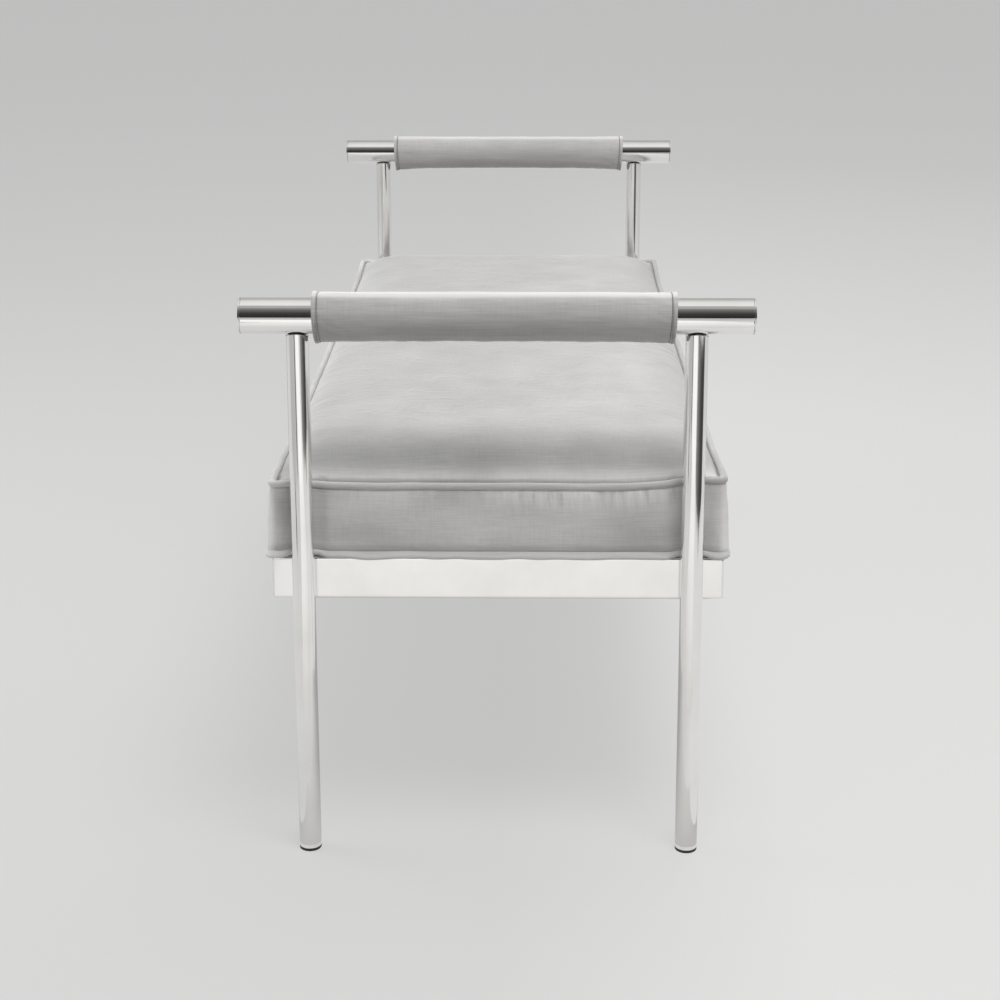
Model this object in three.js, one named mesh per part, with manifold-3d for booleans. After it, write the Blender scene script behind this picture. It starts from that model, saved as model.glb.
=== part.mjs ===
// Upholstered bench for a hotel room. Two end frames of polished round tube carry a seat frame
// of polished rectangular tube. A boxed velvet cushion with welted edges lies on the seat frame,
// and a padded velvet sleeve covers each end bar between its legs.
// Millimetres, +Z up, origin on the floor under the middle of the bench.
// X runs along the bench, right at +X, and Y runs across it, front at -Y.
import * as THREE from 'three';
import { mergeVertices } from 'three/addons/utils/BufferGeometryUtils.js';
import Module from 'manifold-3d';

// Layout
const legSpan = 1280; // leg axis to leg axis along the bench
const legSpacing = 440; // leg axis to leg axis across the bench
const barTop = 660; // floor to the top of the end bars
const railUnderside = 305; // floor to the underside of the seat frame
const fit = 0.3; // clearance between pieces that touch or fit into each other

// Legs
const legDiameter = 25.4;
const legWall = 2;

// Glides pushed into the legs' feet
const glideFlange = 3; // thickness of the disc under the leg
const glideEdge = 0.8; // chamfer round the sole
const glidePlug = 18; // length inside the leg
const glideGroove = 6; // width of the groove round the plug
const glideGrooveDepth = 0.8;

// End bars and the caps that close them
const barDiameter = 40;
const barWall = 2;
const barOverhang = 63; // leg axis to the end of the bar
const capFlange = 2;
const capEdge = 0.6; // chamfer round the cap's face
const capPlug = 14; // length inside the bar

// Padded sleeves on the end bars
const sleeveLegGap = 7.3; // side of a leg to the sleeve's hem
const sleevePadding = 4.4;
const sleeveCloth = 1.5;
const hemWidth = 8;
const hemCloth = 2.6; // thickness of the folded hem
const hemEdge = 1; // rounding of the hem's edges
const stitchDip = 0.5; // depth of the stitched line inside the hem
const stitchWidth = 2; // width of the slope down to that line

// Seat frame of rectangular tube, mitred at its corners
const railHeight = 50;
const railWidth = 25;
const railWall = 2;
const railCorner = 2.5; // outer corner radius of the tube's section
const frameCorner = 3; // radius of the frame's ground upright corners
const groundMargin = 0.05; // the grinding stops this far outside the rails' flat faces
const legToSideRail = 13; // leg axis to the side rail's inner face
const crossRailSize = 25;
const crossRailWall = 2;
const crossRailSpacing = 420; // between the axes of the two cross rails

// Plates in the frame's corners that take the seat screws
const plateLeg = 60;
const plateTip = 8; // width of the plate's blunt tips
const plateThickness = 3;
const plateScrewInset = 20;

// Bolts from the end rails into threaded blocks inside the legs
const boltDiameter = 6;
const boltHeadFlats = 10;
const boltHeadHeight = 4;
const boltEdge = 12; // bolt axis to the rail's upper or lower edge
const boltPastAxis = 4; // bolt tip past the leg's axis
const blockEnd = 10; // bolt axis to the end of the leg block

// Seat board, its dust cover and its screws
const boardThickness = 15;
const dustCloth = 1;
const screwDiameter = 4.8;
const screwHeadDiameter = 11;
const screwHeadHeight = 3;
const screwHeadFlat = 6.6; // width of the head's flat outer face
const screwHeadRim = 1.2; // height of the head's straight rim
const screwBite = 10; // depth of the screw in the board
const crossScrewInset = 90; // side rail's inner face to a screw in a cross rail

// Seat cushion
const seatLegGap = 0.6; // leg to the bottom welt
const seatOverhang = 8; // side rail's outer face to the outside of the bottom welt
const seatCorner = 22; // corner radius round the outside of the bottom welt
const weltDiameter = 8.5;
const weltRise = 78; // axis of the bottom welt to axis of the top welt
const seatTaper = 5; // how far the top welt stands in from the bottom welt
const endBulge = 3.5; // how far the ends swell out between the legs
const sideDraw = 1.5; // how far the long sides pull in between their corners
const coverCloth = 1.5;
const boxingSetback = 2; // outside of the bottom welt to the foot of the boxing
const boxingSwell = 2; // how far the boxing swells at half height
const crownHeight = 38; // top of the cushion above the top welt
const crownReach = 35; // distance in which most of the crown rises
const crownRounding = 0.5; // growth of the crown's corner radius for each millimetre inwards

// Facets of round forms
const barSides = 32;
const legSides = 24;
const sleeveSides = 24;
const hardwareSides = 10;
const weltSides = 8;
const arcSteps = 1; // half the steps in a small rounded corner
const outlineSteps = { end: 8, corner: 4, side: 10 }; // steps in the seat's outline
const boxingRows = 4;
const crownRings = 6;
const crownInnermost = 0.92; // share of the half depth at which the last ring lies

// Places worked out from the sizes above
const legX = legSpan / 2;
const legY = legSpacing / 2;
const legRadius = legDiameter / 2;
const legBore = legRadius - legWall;
const barRadius = barDiameter / 2;
const barAxis = barTop - barRadius;
const barLength = legSpacing + 2 * barOverhang;
const sleeveHalf = legY - legRadius - sleeveLegGap;
const frameX = legX - legRadius - fit; // outer face of an end rail
const frameInnerY = legY + legToSideRail; // inner face of a side rail
const frameY = frameInnerY + railWidth; // outer face of a side rail
const frameInnerX = frameX - railWidth;
const railTop = railUnderside + railHeight;
const boltHeights = [railUnderside + boltEdge, railTop - boltEdge];
const boltHole = boltDiameter / 2 + fit;
const screwHole = screwDiameter / 2 + fit;
const dustFoot = railTop + fit;
const boardFoot = dustFoot + dustCloth + fit;
const boardTop = boardFoot + boardThickness;
const weltRadius = weltDiameter / 2;
const lowWelt = railTop + fit + weltRadius;
const highWelt = lowWelt + weltRise;
const seatX = legX - legRadius - seatLegGap; // outside of the bottom welt at a leg
const seatY = frameY + seatOverhang;
const boardInset = weltDiameter + fit; // the board lies inside the bottom welt
const panelInset = seatTaper + weltDiameter + fit; // the top panel lies inside the top welt

const wasm = await Module();
wasm.setup();

// Finishes
function finish(color, roughness, metalness) {
  return new THREE.MeshStandardMaterial({ color, roughness, metalness });
}
const polishedSteel = finish(0xd4d3cf, 0.1, 1);
const plainSteel = finish(0x9c9c99, 0.45, 1);
const blackNylon = finish(0x141414, 0.5, 0);
const velvet = finish(0xc6c4c0, 0.85, 0);
const foam = finish(0xe8e0c4, 0.95, 0);
const plywood = finish(0xc8a574, 0.7, 0);
const dustFabric = finish(0x1d1d1e, 0.95, 0);

// Booleans: a closed geometry becomes a solid, and a solid becomes a geometry again
function toSolid(geometry) {
  const bare = geometry.clone();
  bare.deleteAttribute('normal');
  bare.deleteAttribute('uv');
  const merged = mergeVertices(bare);
  const corners = merged.index.array;
  const kept = [];
  for (let i = 0; i < corners.length; i += 3) {
    const [a, b, c] = [corners[i], corners[i + 1], corners[i + 2]];
    if (a !== b && b !== c && c !== a) kept.push(a, b, c);
  }
  const vertProperties = Float32Array.from(merged.attributes.position.array);
  const triVerts = Uint32Array.from(kept);
  return new wasm.Manifold(new wasm.Mesh({ numProp: 3, vertProperties, triVerts }));
}

function toGeometry(solid) {
  const mesh = solid.getMesh();
  const geometry = new THREE.BufferGeometry();
  geometry.setAttribute('position', new THREE.BufferAttribute(mesh.vertProperties, mesh.numProp));
  geometry.setIndex(new THREE.BufferAttribute(mesh.triVerts, 1));
  geometry.computeVertexNormals();
  return geometry;
}

// Round and rectangular stock
function prism(shape, depth, steps = arcSteps) {
  return new THREE.ExtrudeGeometry(shape, { depth, bevelEnabled: false, curveSegments: steps });
}

function circle(radius, x = 0, y = 0) {
  return new THREE.Shape().absarc(x, y, radius, 0, Math.PI * 2);
}

function roundTube(radius, wall, length, sides) {
  const ring = circle(radius);
  ring.holes.push(circle(radius - wall));
  return prism(ring, length, sides / 2);
}

function roundedRectangle(width, height, radius) {
  const x = width / 2 - radius;
  const y = height / 2 - radius;
  const quarter = Math.PI / 2;
  const shape = new THREE.Shape();
  shape.absarc(x, y, radius, 0, quarter);
  shape.absarc(-x, y, radius, quarter, 2 * quarter);
  shape.absarc(-x, -y, radius, 2 * quarter, 3 * quarter);
  shape.absarc(x, -y, radius, 3 * quarter, 4 * quarter);
  shape.closePath();
  return shape;
}

// Rectangular tube along Y, centred on the origin
function rectangularTube(width, height, wall, corner, length) {
  const section = roundedRectangle(width, height, corner);
  section.holes.push(roundedRectangle(width - 2 * wall, height - 2 * wall, corner - wall / 2));
  const tube = prism(section, length);
  tube.translate(0, 0, -length / 2);
  tube.rotateX(Math.PI / 2);
  return tube;
}

function turned(profile, sides) {
  const points = profile.map(([radius, z]) => new THREE.Vector2(radius, z));
  const geometry = new THREE.LatheGeometry(points, sides);
  geometry.rotateX(Math.PI / 2);
  return geometry;
}

// Drill along X or Z, starting at a point
function drillX(radius, length, start) {
  const drill = new THREE.CylinderGeometry(radius, radius, length, hardwareSides);
  drill.rotateZ(Math.PI / 2);
  drill.translate(start.x + length / 2, start.y, start.z);
  return toSolid(drill);
}

function drillZ(radius, length, start) {
  const drill = new THREE.CylinderGeometry(radius, radius, length, hardwareSides);
  drill.rotateX(Math.PI / 2);
  drill.translate(start.x, start.y, start.z + length / 2);
  return toSolid(drill);
}

// Skin over a row of rings with the same number of points, each ring counter-clockwise from above.
// A closed row joins its last ring to its first, and an open row is capped at both ends.
function loft(rings, closedRow) {
  const count = rings[0].length;
  const positions = rings.flat().flatMap((point) => [point.x, point.y, point.z]);
  const faces = [];
  const bands = closedRow ? rings.length : rings.length - 1;
  for (let row = 0; row < bands; row += 1) {
    const here = row * count;
    const above = ((row + 1) % rings.length) * count;
    for (let i = 0; i < count; i += 1) {
      const next = (i + 1) % count;
      faces.push(here + i, here + next, above + next);
      faces.push(here + i, above + next, above + i);
    }
  }
  if (!closedRow) {
    const last = (rings.length - 1) * count;
    for (const [a, b, c] of THREE.ShapeUtils.triangulateShape(rings[0], [])) faces.push(a, c, b);
    for (const [a, b, c] of THREE.ShapeUtils.triangulateShape(rings.at(-1), [])) {
      faces.push(last + a, last + b, last + c);
    }
  }
  const geometry = new THREE.BufferGeometry();
  geometry.setAttribute('position', new THREE.Float32BufferAttribute(positions, 3));
  geometry.setIndex(faces);
  geometry.computeVertexNormals();
  return geometry;
}

// End frame pieces, drawn for the right end with the bench's middle towards -X
function legGeometry() {
  const foot = glideFlange + fit;
  const blank = roundTube(legRadius, legWall, barAxis - foot, legSides);
  blank.translate(0, 0, foot);
  const saddle = new THREE.CylinderGeometry(barRadius + fit, barRadius + fit, barDiameter, barSides);
  saddle.translate(0, 0, barAxis);
  let leg = toSolid(blank).subtract(toSolid(saddle));
  for (const z of boltHeights) {
    leg = leg.subtract(drillX(boltHole, legDiameter, new THREE.Vector3(-legDiameter, 0, z)));
  }
  return toGeometry(leg);
}

function glideGeometry() {
  const plug = legBore - fit;
  const waist = plug - glideGrooveDepth;
  const end = glideFlange + glidePlug;
  const grooveLow = glideFlange + (glidePlug - glideGroove) / 2;
  const grooveHigh = grooveLow + glideGroove;
  return turned([
    [0, 0], [legRadius - glideEdge, 0], [legRadius, glideEdge], [legRadius, glideFlange],
    [plug, glideFlange], [plug, grooveLow], [waist, grooveLow], [waist, grooveHigh],
    [plug, grooveHigh], [plug, end], [0, end],
  ], legSides);
}

function legBlockGeometry() {
  const [low, high] = boltHeights;
  const length = high - low + 2 * blockEnd;
  const radius = legBore - fit;
  const slug = new THREE.CylinderGeometry(radius, radius, length, legSides);
  slug.rotateX(Math.PI / 2);
  slug.translate(0, 0, (low + high) / 2);
  let block = toSolid(slug);
  for (const z of boltHeights) {
    block = block.subtract(drillX(boltHole, legDiameter, new THREE.Vector3(-legRadius, 0, z)));
  }
  return toGeometry(block);
}

// Hexagon bolt along X with its head against the end rail's inner face
function legBoltGeometry() {
  const seat = frameInnerX - fit - legX;
  const shankLength = boltPastAxis - seat;
  const shank = new THREE.CylinderGeometry(boltDiameter / 2, boltDiameter / 2, shankLength, hardwareSides);
  shank.rotateZ(Math.PI / 2);
  shank.translate(seat + shankLength / 2, 0, 0);
  const headRadius = boltHeadFlats / Math.sqrt(3);
  const head = new THREE.CylinderGeometry(headRadius, headRadius, boltHeadHeight, 6);
  head.rotateZ(Math.PI / 2);
  head.translate(seat - boltHeadHeight / 2, 0, 0);
  return toGeometry(toSolid(head).add(toSolid(shank)));
}

// Bar pieces, drawn along Z and laid along Y when they are placed
function barGeometry() {
  const length = barLength - 2 * (capFlange + fit);
  const tube = roundTube(barRadius, barWall, length, barSides);
  tube.translate(0, 0, -length / 2);
  return tube;
}

function barCapGeometry() {
  const face = barLength / 2;
  const back = face - capFlange;
  const plug = barRadius - barWall - fit;
  return turned([
    [0, back - capPlug], [plug, back - capPlug], [plug, back], [barRadius, back],
    [barRadius, face - capEdge], [barRadius - capEdge, face], [0, face],
  ], barSides);
}

function sleevePaddingGeometry() {
  const tube = roundTube(barRadius + fit + sleevePadding, sleevePadding, 2 * sleeveHalf, sleeveSides);
  tube.translate(0, 0, -sleeveHalf);
  return tube;
}

// Sleeve of cloth with a folded hem at both ends, each sewn down by a stitched line
function sleeveCoverGeometry() {
  const inside = barRadius + fit + sleevePadding + fit;
  const cloth = inside + sleeveCloth;
  const hem = inside + hemCloth;
  const hemInner = sleeveHalf - hemWidth;
  const upperHalf = [
    [cloth, hemInner - hemEdge - stitchWidth],
    [cloth - stitchDip, hemInner - hemEdge],
    [hem, hemInner + hemEdge],
    [hem, sleeveHalf - hemEdge],
    [hem - hemEdge, sleeveHalf],
    [inside, sleeveHalf],
  ];
  const lowerHalf = upperHalf.map(([radius, z]) => [radius, -z]).reverse();
  return turned([...lowerHalf, ...upperHalf, lowerHalf[0]], sleeveSides);
}

// A rail is cut by its own mitres, given as the ends of two slanting lines across it, and by the
// rounded outline that the frame's upright corners are ground to, which stays clear of the flat faces
function mitredRail(tube, mitreLines) {
  tube.translate(0, 0, railUnderside + railHeight / 2);
  const ground = roundedRectangle(2 * (frameX + groundMargin), 2 * (frameY + groundMargin), frameCorner);
  const outline = prism(ground, railTop + railHeight);
  const wedge = prism(new THREE.Shape(mitreLines), railTop + railHeight);
  return toSolid(tube).intersect(toSolid(outline)).intersect(toSolid(wedge));
}

function endRailGeometry() {
  const tube = rectangularTube(railWidth, railHeight, railWall, railCorner, 2 * frameY);
  tube.translate(frameX - railWidth / 2, 0, 0);
  const outside = { x: frameX + railWidth, y: frameY + railWidth };
  const inside = { x: frameInnerX - railWidth, y: frameInnerY - railWidth };
  let rail = mitredRail(tube, [
    new THREE.Vector2(outside.x, -outside.y), new THREE.Vector2(outside.x, outside.y),
    new THREE.Vector2(inside.x, inside.y), new THREE.Vector2(inside.x, -inside.y),
  ]);
  for (const y of [-legY, legY]) {
    for (const z of boltHeights) {
      const start = new THREE.Vector3(frameInnerX - railWidth, y, z);
      rail = rail.subtract(drillX(boltHole, 3 * railWidth, start));
    }
  }
  return toGeometry(rail);
}

function sideRailGeometry() {
  const tube = rectangularTube(railWidth, railHeight, railWall, railCorner, 2 * frameX);
  tube.rotateZ(Math.PI / 2);
  tube.translate(0, -frameY + railWidth / 2, 0);
  const kerf = fit * Math.SQRT2;
  const outside = { x: frameX + railWidth - kerf, y: frameY + railWidth };
  const inside = { x: frameInnerX - railWidth - kerf, y: frameInnerY - railWidth };
  return toGeometry(mitredRail(tube, [
    new THREE.Vector2(outside.x, -outside.y), new THREE.Vector2(inside.x, -inside.y),
    new THREE.Vector2(-inside.x, -inside.y), new THREE.Vector2(-outside.x, -outside.y),
  ]));
}

function crossRailGeometry() {
  const length = 2 * (frameInnerY - fit);
  const tube = rectangularTube(crossRailSize, crossRailSize, crossRailWall, railCorner, length);
  let rail = toSolid(tube);
  for (const y of crossScrewRows()) {
    rail = rail.subtract(drillZ(screwHole, 2 * crossRailSize, new THREE.Vector3(0, y, -crossRailSize)));
  }
  return toGeometry(rail);
}

function crossScrewRows() {
  const y = frameInnerY - crossScrewInset;
  return [-y, y];
}

// Plate for the right back corner, with that corner at its origin
function cornerPlateGeometry() {
  const plate = new THREE.Shape();
  plate.moveTo(0, 0);
  plate.lineTo(-plateLeg, 0);
  plate.lineTo(-plateLeg, -plateTip);
  plate.lineTo(-plateTip, -plateLeg);
  plate.lineTo(0, -plateLeg);
  plate.closePath();
  plate.holes.push(circle(screwHole, -plateScrewInset, -plateScrewInset));
  return prism(plate, plateThickness, hardwareSides / 2);
}

// Pan head screw with its head's upper face at z = 0
function seatScrewGeometry(length) {
  const shank = screwDiameter / 2;
  const head = screwHeadDiameter / 2;
  return turned([
    [0, -screwHeadHeight], [screwHeadFlat / 2, -screwHeadHeight], [head, -screwHeadRim], [head, 0],
    [shank, 0], [shank, length - shank], [0, length],
  ], hardwareSides);
}

// Places of the seat screws: one in each corner plate and two in each cross rail
const screwFromPlate = { x: frameInnerX - fit - plateScrewInset, y: frameInnerY - fit - plateScrewInset };
function screwPlaces() {
  const places = [];
  for (const [end, x] of [['right', 1], ['left', -1]]) {
    for (const [row, y] of [['front', -1], ['back', 1]]) {
      places.push({
        name: `${end}_${row}_corner_screw`,
        x: x * screwFromPlate.x,
        y: y * screwFromPlate.y,
        seat: railTop - plateThickness - fit,
      });
      places.push({
        name: `${end}_${row}_cross_rail_screw`,
        x: (x * crossRailSpacing) / 2,
        y: y * (frameInnerY - crossScrewInset),
        seat: railTop - crossRailSize - fit,
      });
    }
  }
  return places;
}

// Seat board with blind screw holes, and the dust cover with the same holes right through
function boardOutline() {
  const halfDepth = seatY - boardInset - sideDraw;
  return roundedRectangle(2 * (seatX - boardInset), 2 * halfDepth, seatCorner);
}

function seatBoardGeometry() {
  const blank = prism(boardOutline(), boardThickness);
  blank.translate(0, 0, boardFoot);
  let board = toSolid(blank);
  for (const { x, y } of screwPlaces()) {
    const start = new THREE.Vector3(x, y, boardFoot - boardThickness);
    board = board.subtract(drillZ(screwHole, boardThickness + screwBite + fit, start));
  }
  return toGeometry(board);
}

function dustCoverGeometry() {
  const sheet = boardOutline();
  for (const { x, y } of screwPlaces()) sheet.holes.push(circle(screwHole, x, y));
  const cover = prism(sheet, dustCloth, hardwareSides / 2);
  cover.translate(0, 0, dustFoot);
  return cover;
}

// Outline of the seat at a distance inside the bottom welt's outermost line. The ends swell out
// between the legs, and the long sides pull in between the corners.
function seatRing(inset, z, corner = Math.max(seatCorner - inset, weltRadius)) {
  const x = seatX - inset;
  const y = seatY - inset;
  const ease = 1 - inset / seatY;
  const clearOfLegs = legY - legRadius - weltDiameter;
  const swell = (across) => endBulge * ease * Math.max(0, 1 - (across / clearOfLegs) ** 2);
  const draw = (along) => sideDraw * ease * Math.max(0, 1 - (along / (x - corner)) ** 2);
  const ring = [];
  for (const turn of [1, -1]) {
    for (let i = 0; i < outlineSteps.end; i += 1) {
      const across = (y - corner) * ((2 * i) / outlineSteps.end - 1);
      ring.push(new THREE.Vector3(turn * (x + swell(across)), turn * across, z));
    }
    for (let i = 0; i < outlineSteps.corner; i += 1) {
      const angle = ((Math.PI / 2) * i) / outlineSteps.corner;
      const cornerX = x - corner + corner * Math.cos(angle);
      const cornerY = y - corner + corner * Math.sin(angle);
      ring.push(new THREE.Vector3(turn * cornerX, turn * cornerY, z));
    }
    for (let i = 0; i < outlineSteps.side; i += 1) {
      const along = (x - corner) * (1 - (2 * i) / outlineSteps.side);
      ring.push(new THREE.Vector3(turn * along, turn * (y - draw(along)), z));
    }
    for (let i = 0; i < outlineSteps.corner; i += 1) {
      const angle = (Math.PI / 2) * (1 + i / outlineSteps.corner);
      const cornerX = -(x - corner) + corner * Math.cos(angle);
      const cornerY = y - corner + corner * Math.sin(angle);
      ring.push(new THREE.Vector3(turn * cornerX, turn * cornerY, z));
    }
  }
  return ring;
}

// Covered cord round the seat, its section a circle carried along the outline
function weltGeometry(inset, z) {
  const rings = [];
  for (let i = 0; i < weltSides; i += 1) {
    const angle = (2 * Math.PI * i) / weltSides;
    const across = inset + weltRadius - weltRadius * Math.cos(angle);
    rings.push(seatRing(across, z + weltRadius * Math.sin(angle)));
  }
  return loft(rings, true);
}

// Boxing between the welts: it leans in towards the top and swells at half height
const boxingFoot = lowWelt + weltRadius + fit;
const boxingHead = highWelt - weltRadius - fit;
function boxingInset(z) {
  const share = (z - boxingFoot) / (boxingHead - boxingFoot);
  return boxingSetback + seatTaper * share - boxingSwell * Math.sin(Math.PI * share);
}

function boxingGeometry() {
  const outside = [];
  const inside = [];
  for (let row = 0; row <= boxingRows; row += 1) {
    const z = boxingFoot + ((boxingHead - boxingFoot) * row) / boxingRows;
    outside.push(seatRing(boxingInset(z), z));
    inside.unshift(seatRing(boxingInset(z) + coverCloth, z));
  }
  return loft([...outside, ...inside], true);
}

// Crown: rings that step in from the top panel's edge, close together where the crown is steep
function crownRise(distance) {
  return crownHeight * (1 - Math.exp(-distance / crownReach));
}

function crownRingsAt(drop) {
  const reach = (seatY - panelInset) * crownInnermost;
  const rings = [];
  for (let k = 0; k <= crownRings; k += 1) {
    const distance = reach * (k / crownRings) ** 2;
    const room = seatY - panelInset - distance;
    const corner = Math.min(seatCorner - panelInset + distance * crownRounding, room * crownInnermost);
    rings.push(seatRing(panelInset + distance, highWelt + crownRise(distance) - drop, corner));
  }
  return rings;
}

function topPanelGeometry() {
  return loft([...crownRingsAt(coverCloth).reverse(), ...crownRingsAt(0)], false);
}

function seatFoamGeometry() {
  const foot = boardTop + fit;
  const ledge = highWelt - weltRadius - 2 * fit;
  const sides = [];
  for (let row = 0; row <= boxingRows; row += 1) {
    const z = foot + ((ledge - foot) * row) / boxingRows;
    sides.push(seatRing(boxingInset(z) + coverCloth + fit, z));
  }
  const underWelt = seatRing(panelInset, ledge, seatCorner - panelInset);
  return loft([...sides, underWelt, ...crownRingsAt(coverCloth + fit)], false);
}

// Assembly
const bench = new THREE.Group();
function add(name, geometry, material, x = 0, y = 0, z = 0) {
  const mesh = new THREE.Mesh(geometry, material);
  mesh.name = name;
  mesh.position.set(x, y, z);
  bench.add(mesh);
  return mesh;
}

function addEndFrame(end, side) {
  const halfTurn = side > 0 ? 0 : Math.PI;
  for (const [row, across] of [['front', -legY], ['back', legY]]) {
    const x = side * legX;
    add(`${end}_${row}_glide`, glideGeometry(), blackNylon, x, across);
    add(`${end}_${row}_leg`, legGeometry(), polishedSteel, x, across).rotation.z = halfTurn;
    add(`${end}_${row}_leg_block`, legBlockGeometry(), plainSteel, x, across).rotation.z = halfTurn;
    for (const [level, z] of [['lower', boltHeights[0]], ['upper', boltHeights[1]]]) {
      const bolt = add(`${end}_${row}_${level}_leg_bolt`, legBoltGeometry(), plainSteel, x, across, z);
      bolt.rotation.z = halfTurn;
    }
    const cap = add(`${end}_${row}_bar_cap`, barCapGeometry(), polishedSteel, x, 0, barAxis);
    cap.rotation.x = across < 0 ? Math.PI / 2 : -Math.PI / 2;
  }
  const alongBar = [
    add(`${end}_end_bar`, barGeometry(), polishedSteel, side * legX, 0, barAxis),
    add(`${end}_sleeve_padding`, sleevePaddingGeometry(), foam, side * legX, 0, barAxis),
    add(`${end}_sleeve_cover`, sleeveCoverGeometry(), velvet, side * legX, 0, barAxis),
  ];
  for (const piece of alongBar) piece.rotation.x = Math.PI / 2;
  add(`${end}_end_rail`, endRailGeometry(), polishedSteel).rotation.z = halfTurn;
  const crossRailZ = railTop - crossRailSize / 2;
  add(`${end}_cross_rail`, crossRailGeometry(), plainSteel, (side * crossRailSpacing) / 2, 0, crossRailZ);
}

function addCornerPlates() {
  const corners = [
    ['right_back', 1, 1],
    ['left_back', -1, 1],
    ['left_front', -1, -1],
    ['right_front', 1, -1],
  ];
  const foot = railTop - plateThickness;
  corners.forEach(([name, sideX, sideY], quarterTurns) => {
    const x = sideX * (frameInnerX - fit);
    const y = sideY * (frameInnerY - fit);
    const plate = add(`${name}_corner_plate`, cornerPlateGeometry(), plainSteel, x, y, foot);
    plate.rotation.z = (quarterTurns * Math.PI) / 2;
  });
}

addEndFrame('right', 1);
addEndFrame('left', -1);
add('front_side_rail', sideRailGeometry(), polishedSteel);
add('back_side_rail', sideRailGeometry(), polishedSteel).rotation.z = Math.PI;
addCornerPlates();

for (const { name, x, y, seat } of screwPlaces()) {
  add(name, seatScrewGeometry(boardFoot + screwBite - seat), plainSteel, x, y, seat);
}
add('dust_cover', dustCoverGeometry(), dustFabric);
add('seat_board', seatBoardGeometry(), plywood);
add('seat_foam', seatFoamGeometry(), foam);
add('cushion_boxing', boxingGeometry(), velvet);
add('cushion_top_panel', topPanelGeometry(), velvet);
add('bottom_welt', weltGeometry(0, lowWelt), velvet);
add('top_welt', weltGeometry(seatTaper, highWelt), velvet);

export default bench;
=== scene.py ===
# Upholstered hotel luggage bench: polished steel end frames and seat frame, a boxed velvet cushion
# with welted edges, and a padded velvet sleeve on each end bar. Metres, +Z up, in the CAD's frame.
from math import copysign, cos, dist, exp, pi, radians, sin, sqrt

import bpy
from mathutils import Matrix, Vector, noise


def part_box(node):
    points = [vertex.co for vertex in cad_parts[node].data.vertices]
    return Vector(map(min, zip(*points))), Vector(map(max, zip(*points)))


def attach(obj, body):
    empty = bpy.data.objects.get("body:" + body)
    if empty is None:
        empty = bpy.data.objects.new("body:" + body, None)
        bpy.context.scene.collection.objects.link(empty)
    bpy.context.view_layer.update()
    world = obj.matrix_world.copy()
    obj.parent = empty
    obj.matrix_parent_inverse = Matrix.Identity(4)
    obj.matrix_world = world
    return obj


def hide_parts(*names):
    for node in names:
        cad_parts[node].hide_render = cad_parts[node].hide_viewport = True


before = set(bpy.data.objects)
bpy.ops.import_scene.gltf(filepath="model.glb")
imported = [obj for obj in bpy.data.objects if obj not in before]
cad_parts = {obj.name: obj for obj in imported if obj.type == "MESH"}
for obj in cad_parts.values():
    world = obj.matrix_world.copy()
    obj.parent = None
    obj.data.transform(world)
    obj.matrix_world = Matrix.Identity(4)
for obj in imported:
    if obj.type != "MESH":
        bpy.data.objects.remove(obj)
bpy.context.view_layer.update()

MM = 0.001
FIT = 0.3 * MM  # clearance between touching pieces, as in the CAD
ENDS = {"right": 1, "left": -1}
ROWS = {"front": -1, "back": 1}

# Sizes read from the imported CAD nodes
leg_low, leg_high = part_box("right_back_leg")
bar_low, bar_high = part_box("right_end_bar")
glide_low, glide_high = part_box("right_back_glide")
cap_low, cap_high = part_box("right_back_bar_cap")
end_rail_low, end_rail_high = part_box("right_end_rail")
sleeve_low, sleeve_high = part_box("right_sleeve_cover")
low_welt_low, low_welt_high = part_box("bottom_welt")
top_welt_low, top_welt_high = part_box("top_welt")
panel_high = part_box("cushion_top_panel")[1]

LEG_X = (leg_low.x + leg_high.x) / 2
LEG_Y = (leg_low.y + leg_high.y) / 2
LEG_RADIUS = (leg_high.y - leg_low.y) / 2
LEG_FOOT = leg_low.z
LEG_WALL = 2 * MM
BAR_RADIUS = (bar_high.z - bar_low.z) / 2
BAR_AXIS = (bar_high.z + bar_low.z) / 2
BAR_HALF = (bar_high.y - bar_low.y) / 2
BAR_WALL = 2 * MM
CAP_OUTER = cap_high.y
FRAME_X = end_rail_high.x
FRAME_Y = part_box("back_side_rail")[1].y
RAIL_FOOT = end_rail_low.z
RAIL_HEAD = end_rail_high.z
RAIL_WIDTH = end_rail_high.x - end_rail_low.x
FRAME_CORNER = 3 * MM
RAIL_CORNER = 2.5 * MM
SLEEVE_HALF = (sleeve_high.y - sleeve_low.y) / 2
SLEEVE_HEM_RADIUS = (sleeve_high.z - sleeve_low.z) / 2
WELT_RADIUS = (low_welt_high.z - low_welt_low.z) / 2
LOW_WELT = (low_welt_high.z + low_welt_low.z) / 2
TOP_WELT = (top_welt_high.z + top_welt_low.z) / 2
END_BULGE = 3.5 * MM
SIDE_DRAW = 1.5 * MM
SEAT_X = low_welt_high.x - END_BULGE
SEAT_Y = low_welt_high.y
SEAT_CORNER = 14 * MM
WELT_TAPER = low_welt_high.y - top_welt_high.y
PANEL_INSET = SEAT_Y - panel_high.y
PANEL_X = SEAT_X - PANEL_INSET
PANEL_Y = SEAT_Y - PANEL_INSET
BOXING_SETBACK = 2 * MM
BOXING_SWELL = 2 * MM
CROWN_HEIGHT = panel_high.z - TOP_WELT
CROWN_REACH = 24 * MM


# Shares, bumps and unevenness
def smooth_step(low, high, value):
    """Goes smoothly from 0 at low to 1 at high."""
    share = min(max((value - low) / (high - low), 0.0), 1.0)
    return share * share * (3 - 2 * share)


def hump(value, width):
    """A smooth bump: 1 at 0, and fading to nothing within a few widths."""
    return exp(-((value / width) ** 2))


def between(pair, share):
    return pair[0] + (pair[1] - pair[0]) * share


def uneven(x, y, z):
    """Smooth noise, from about -1 to 1."""
    return noise.noise(Vector((x, y, z)))


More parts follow.
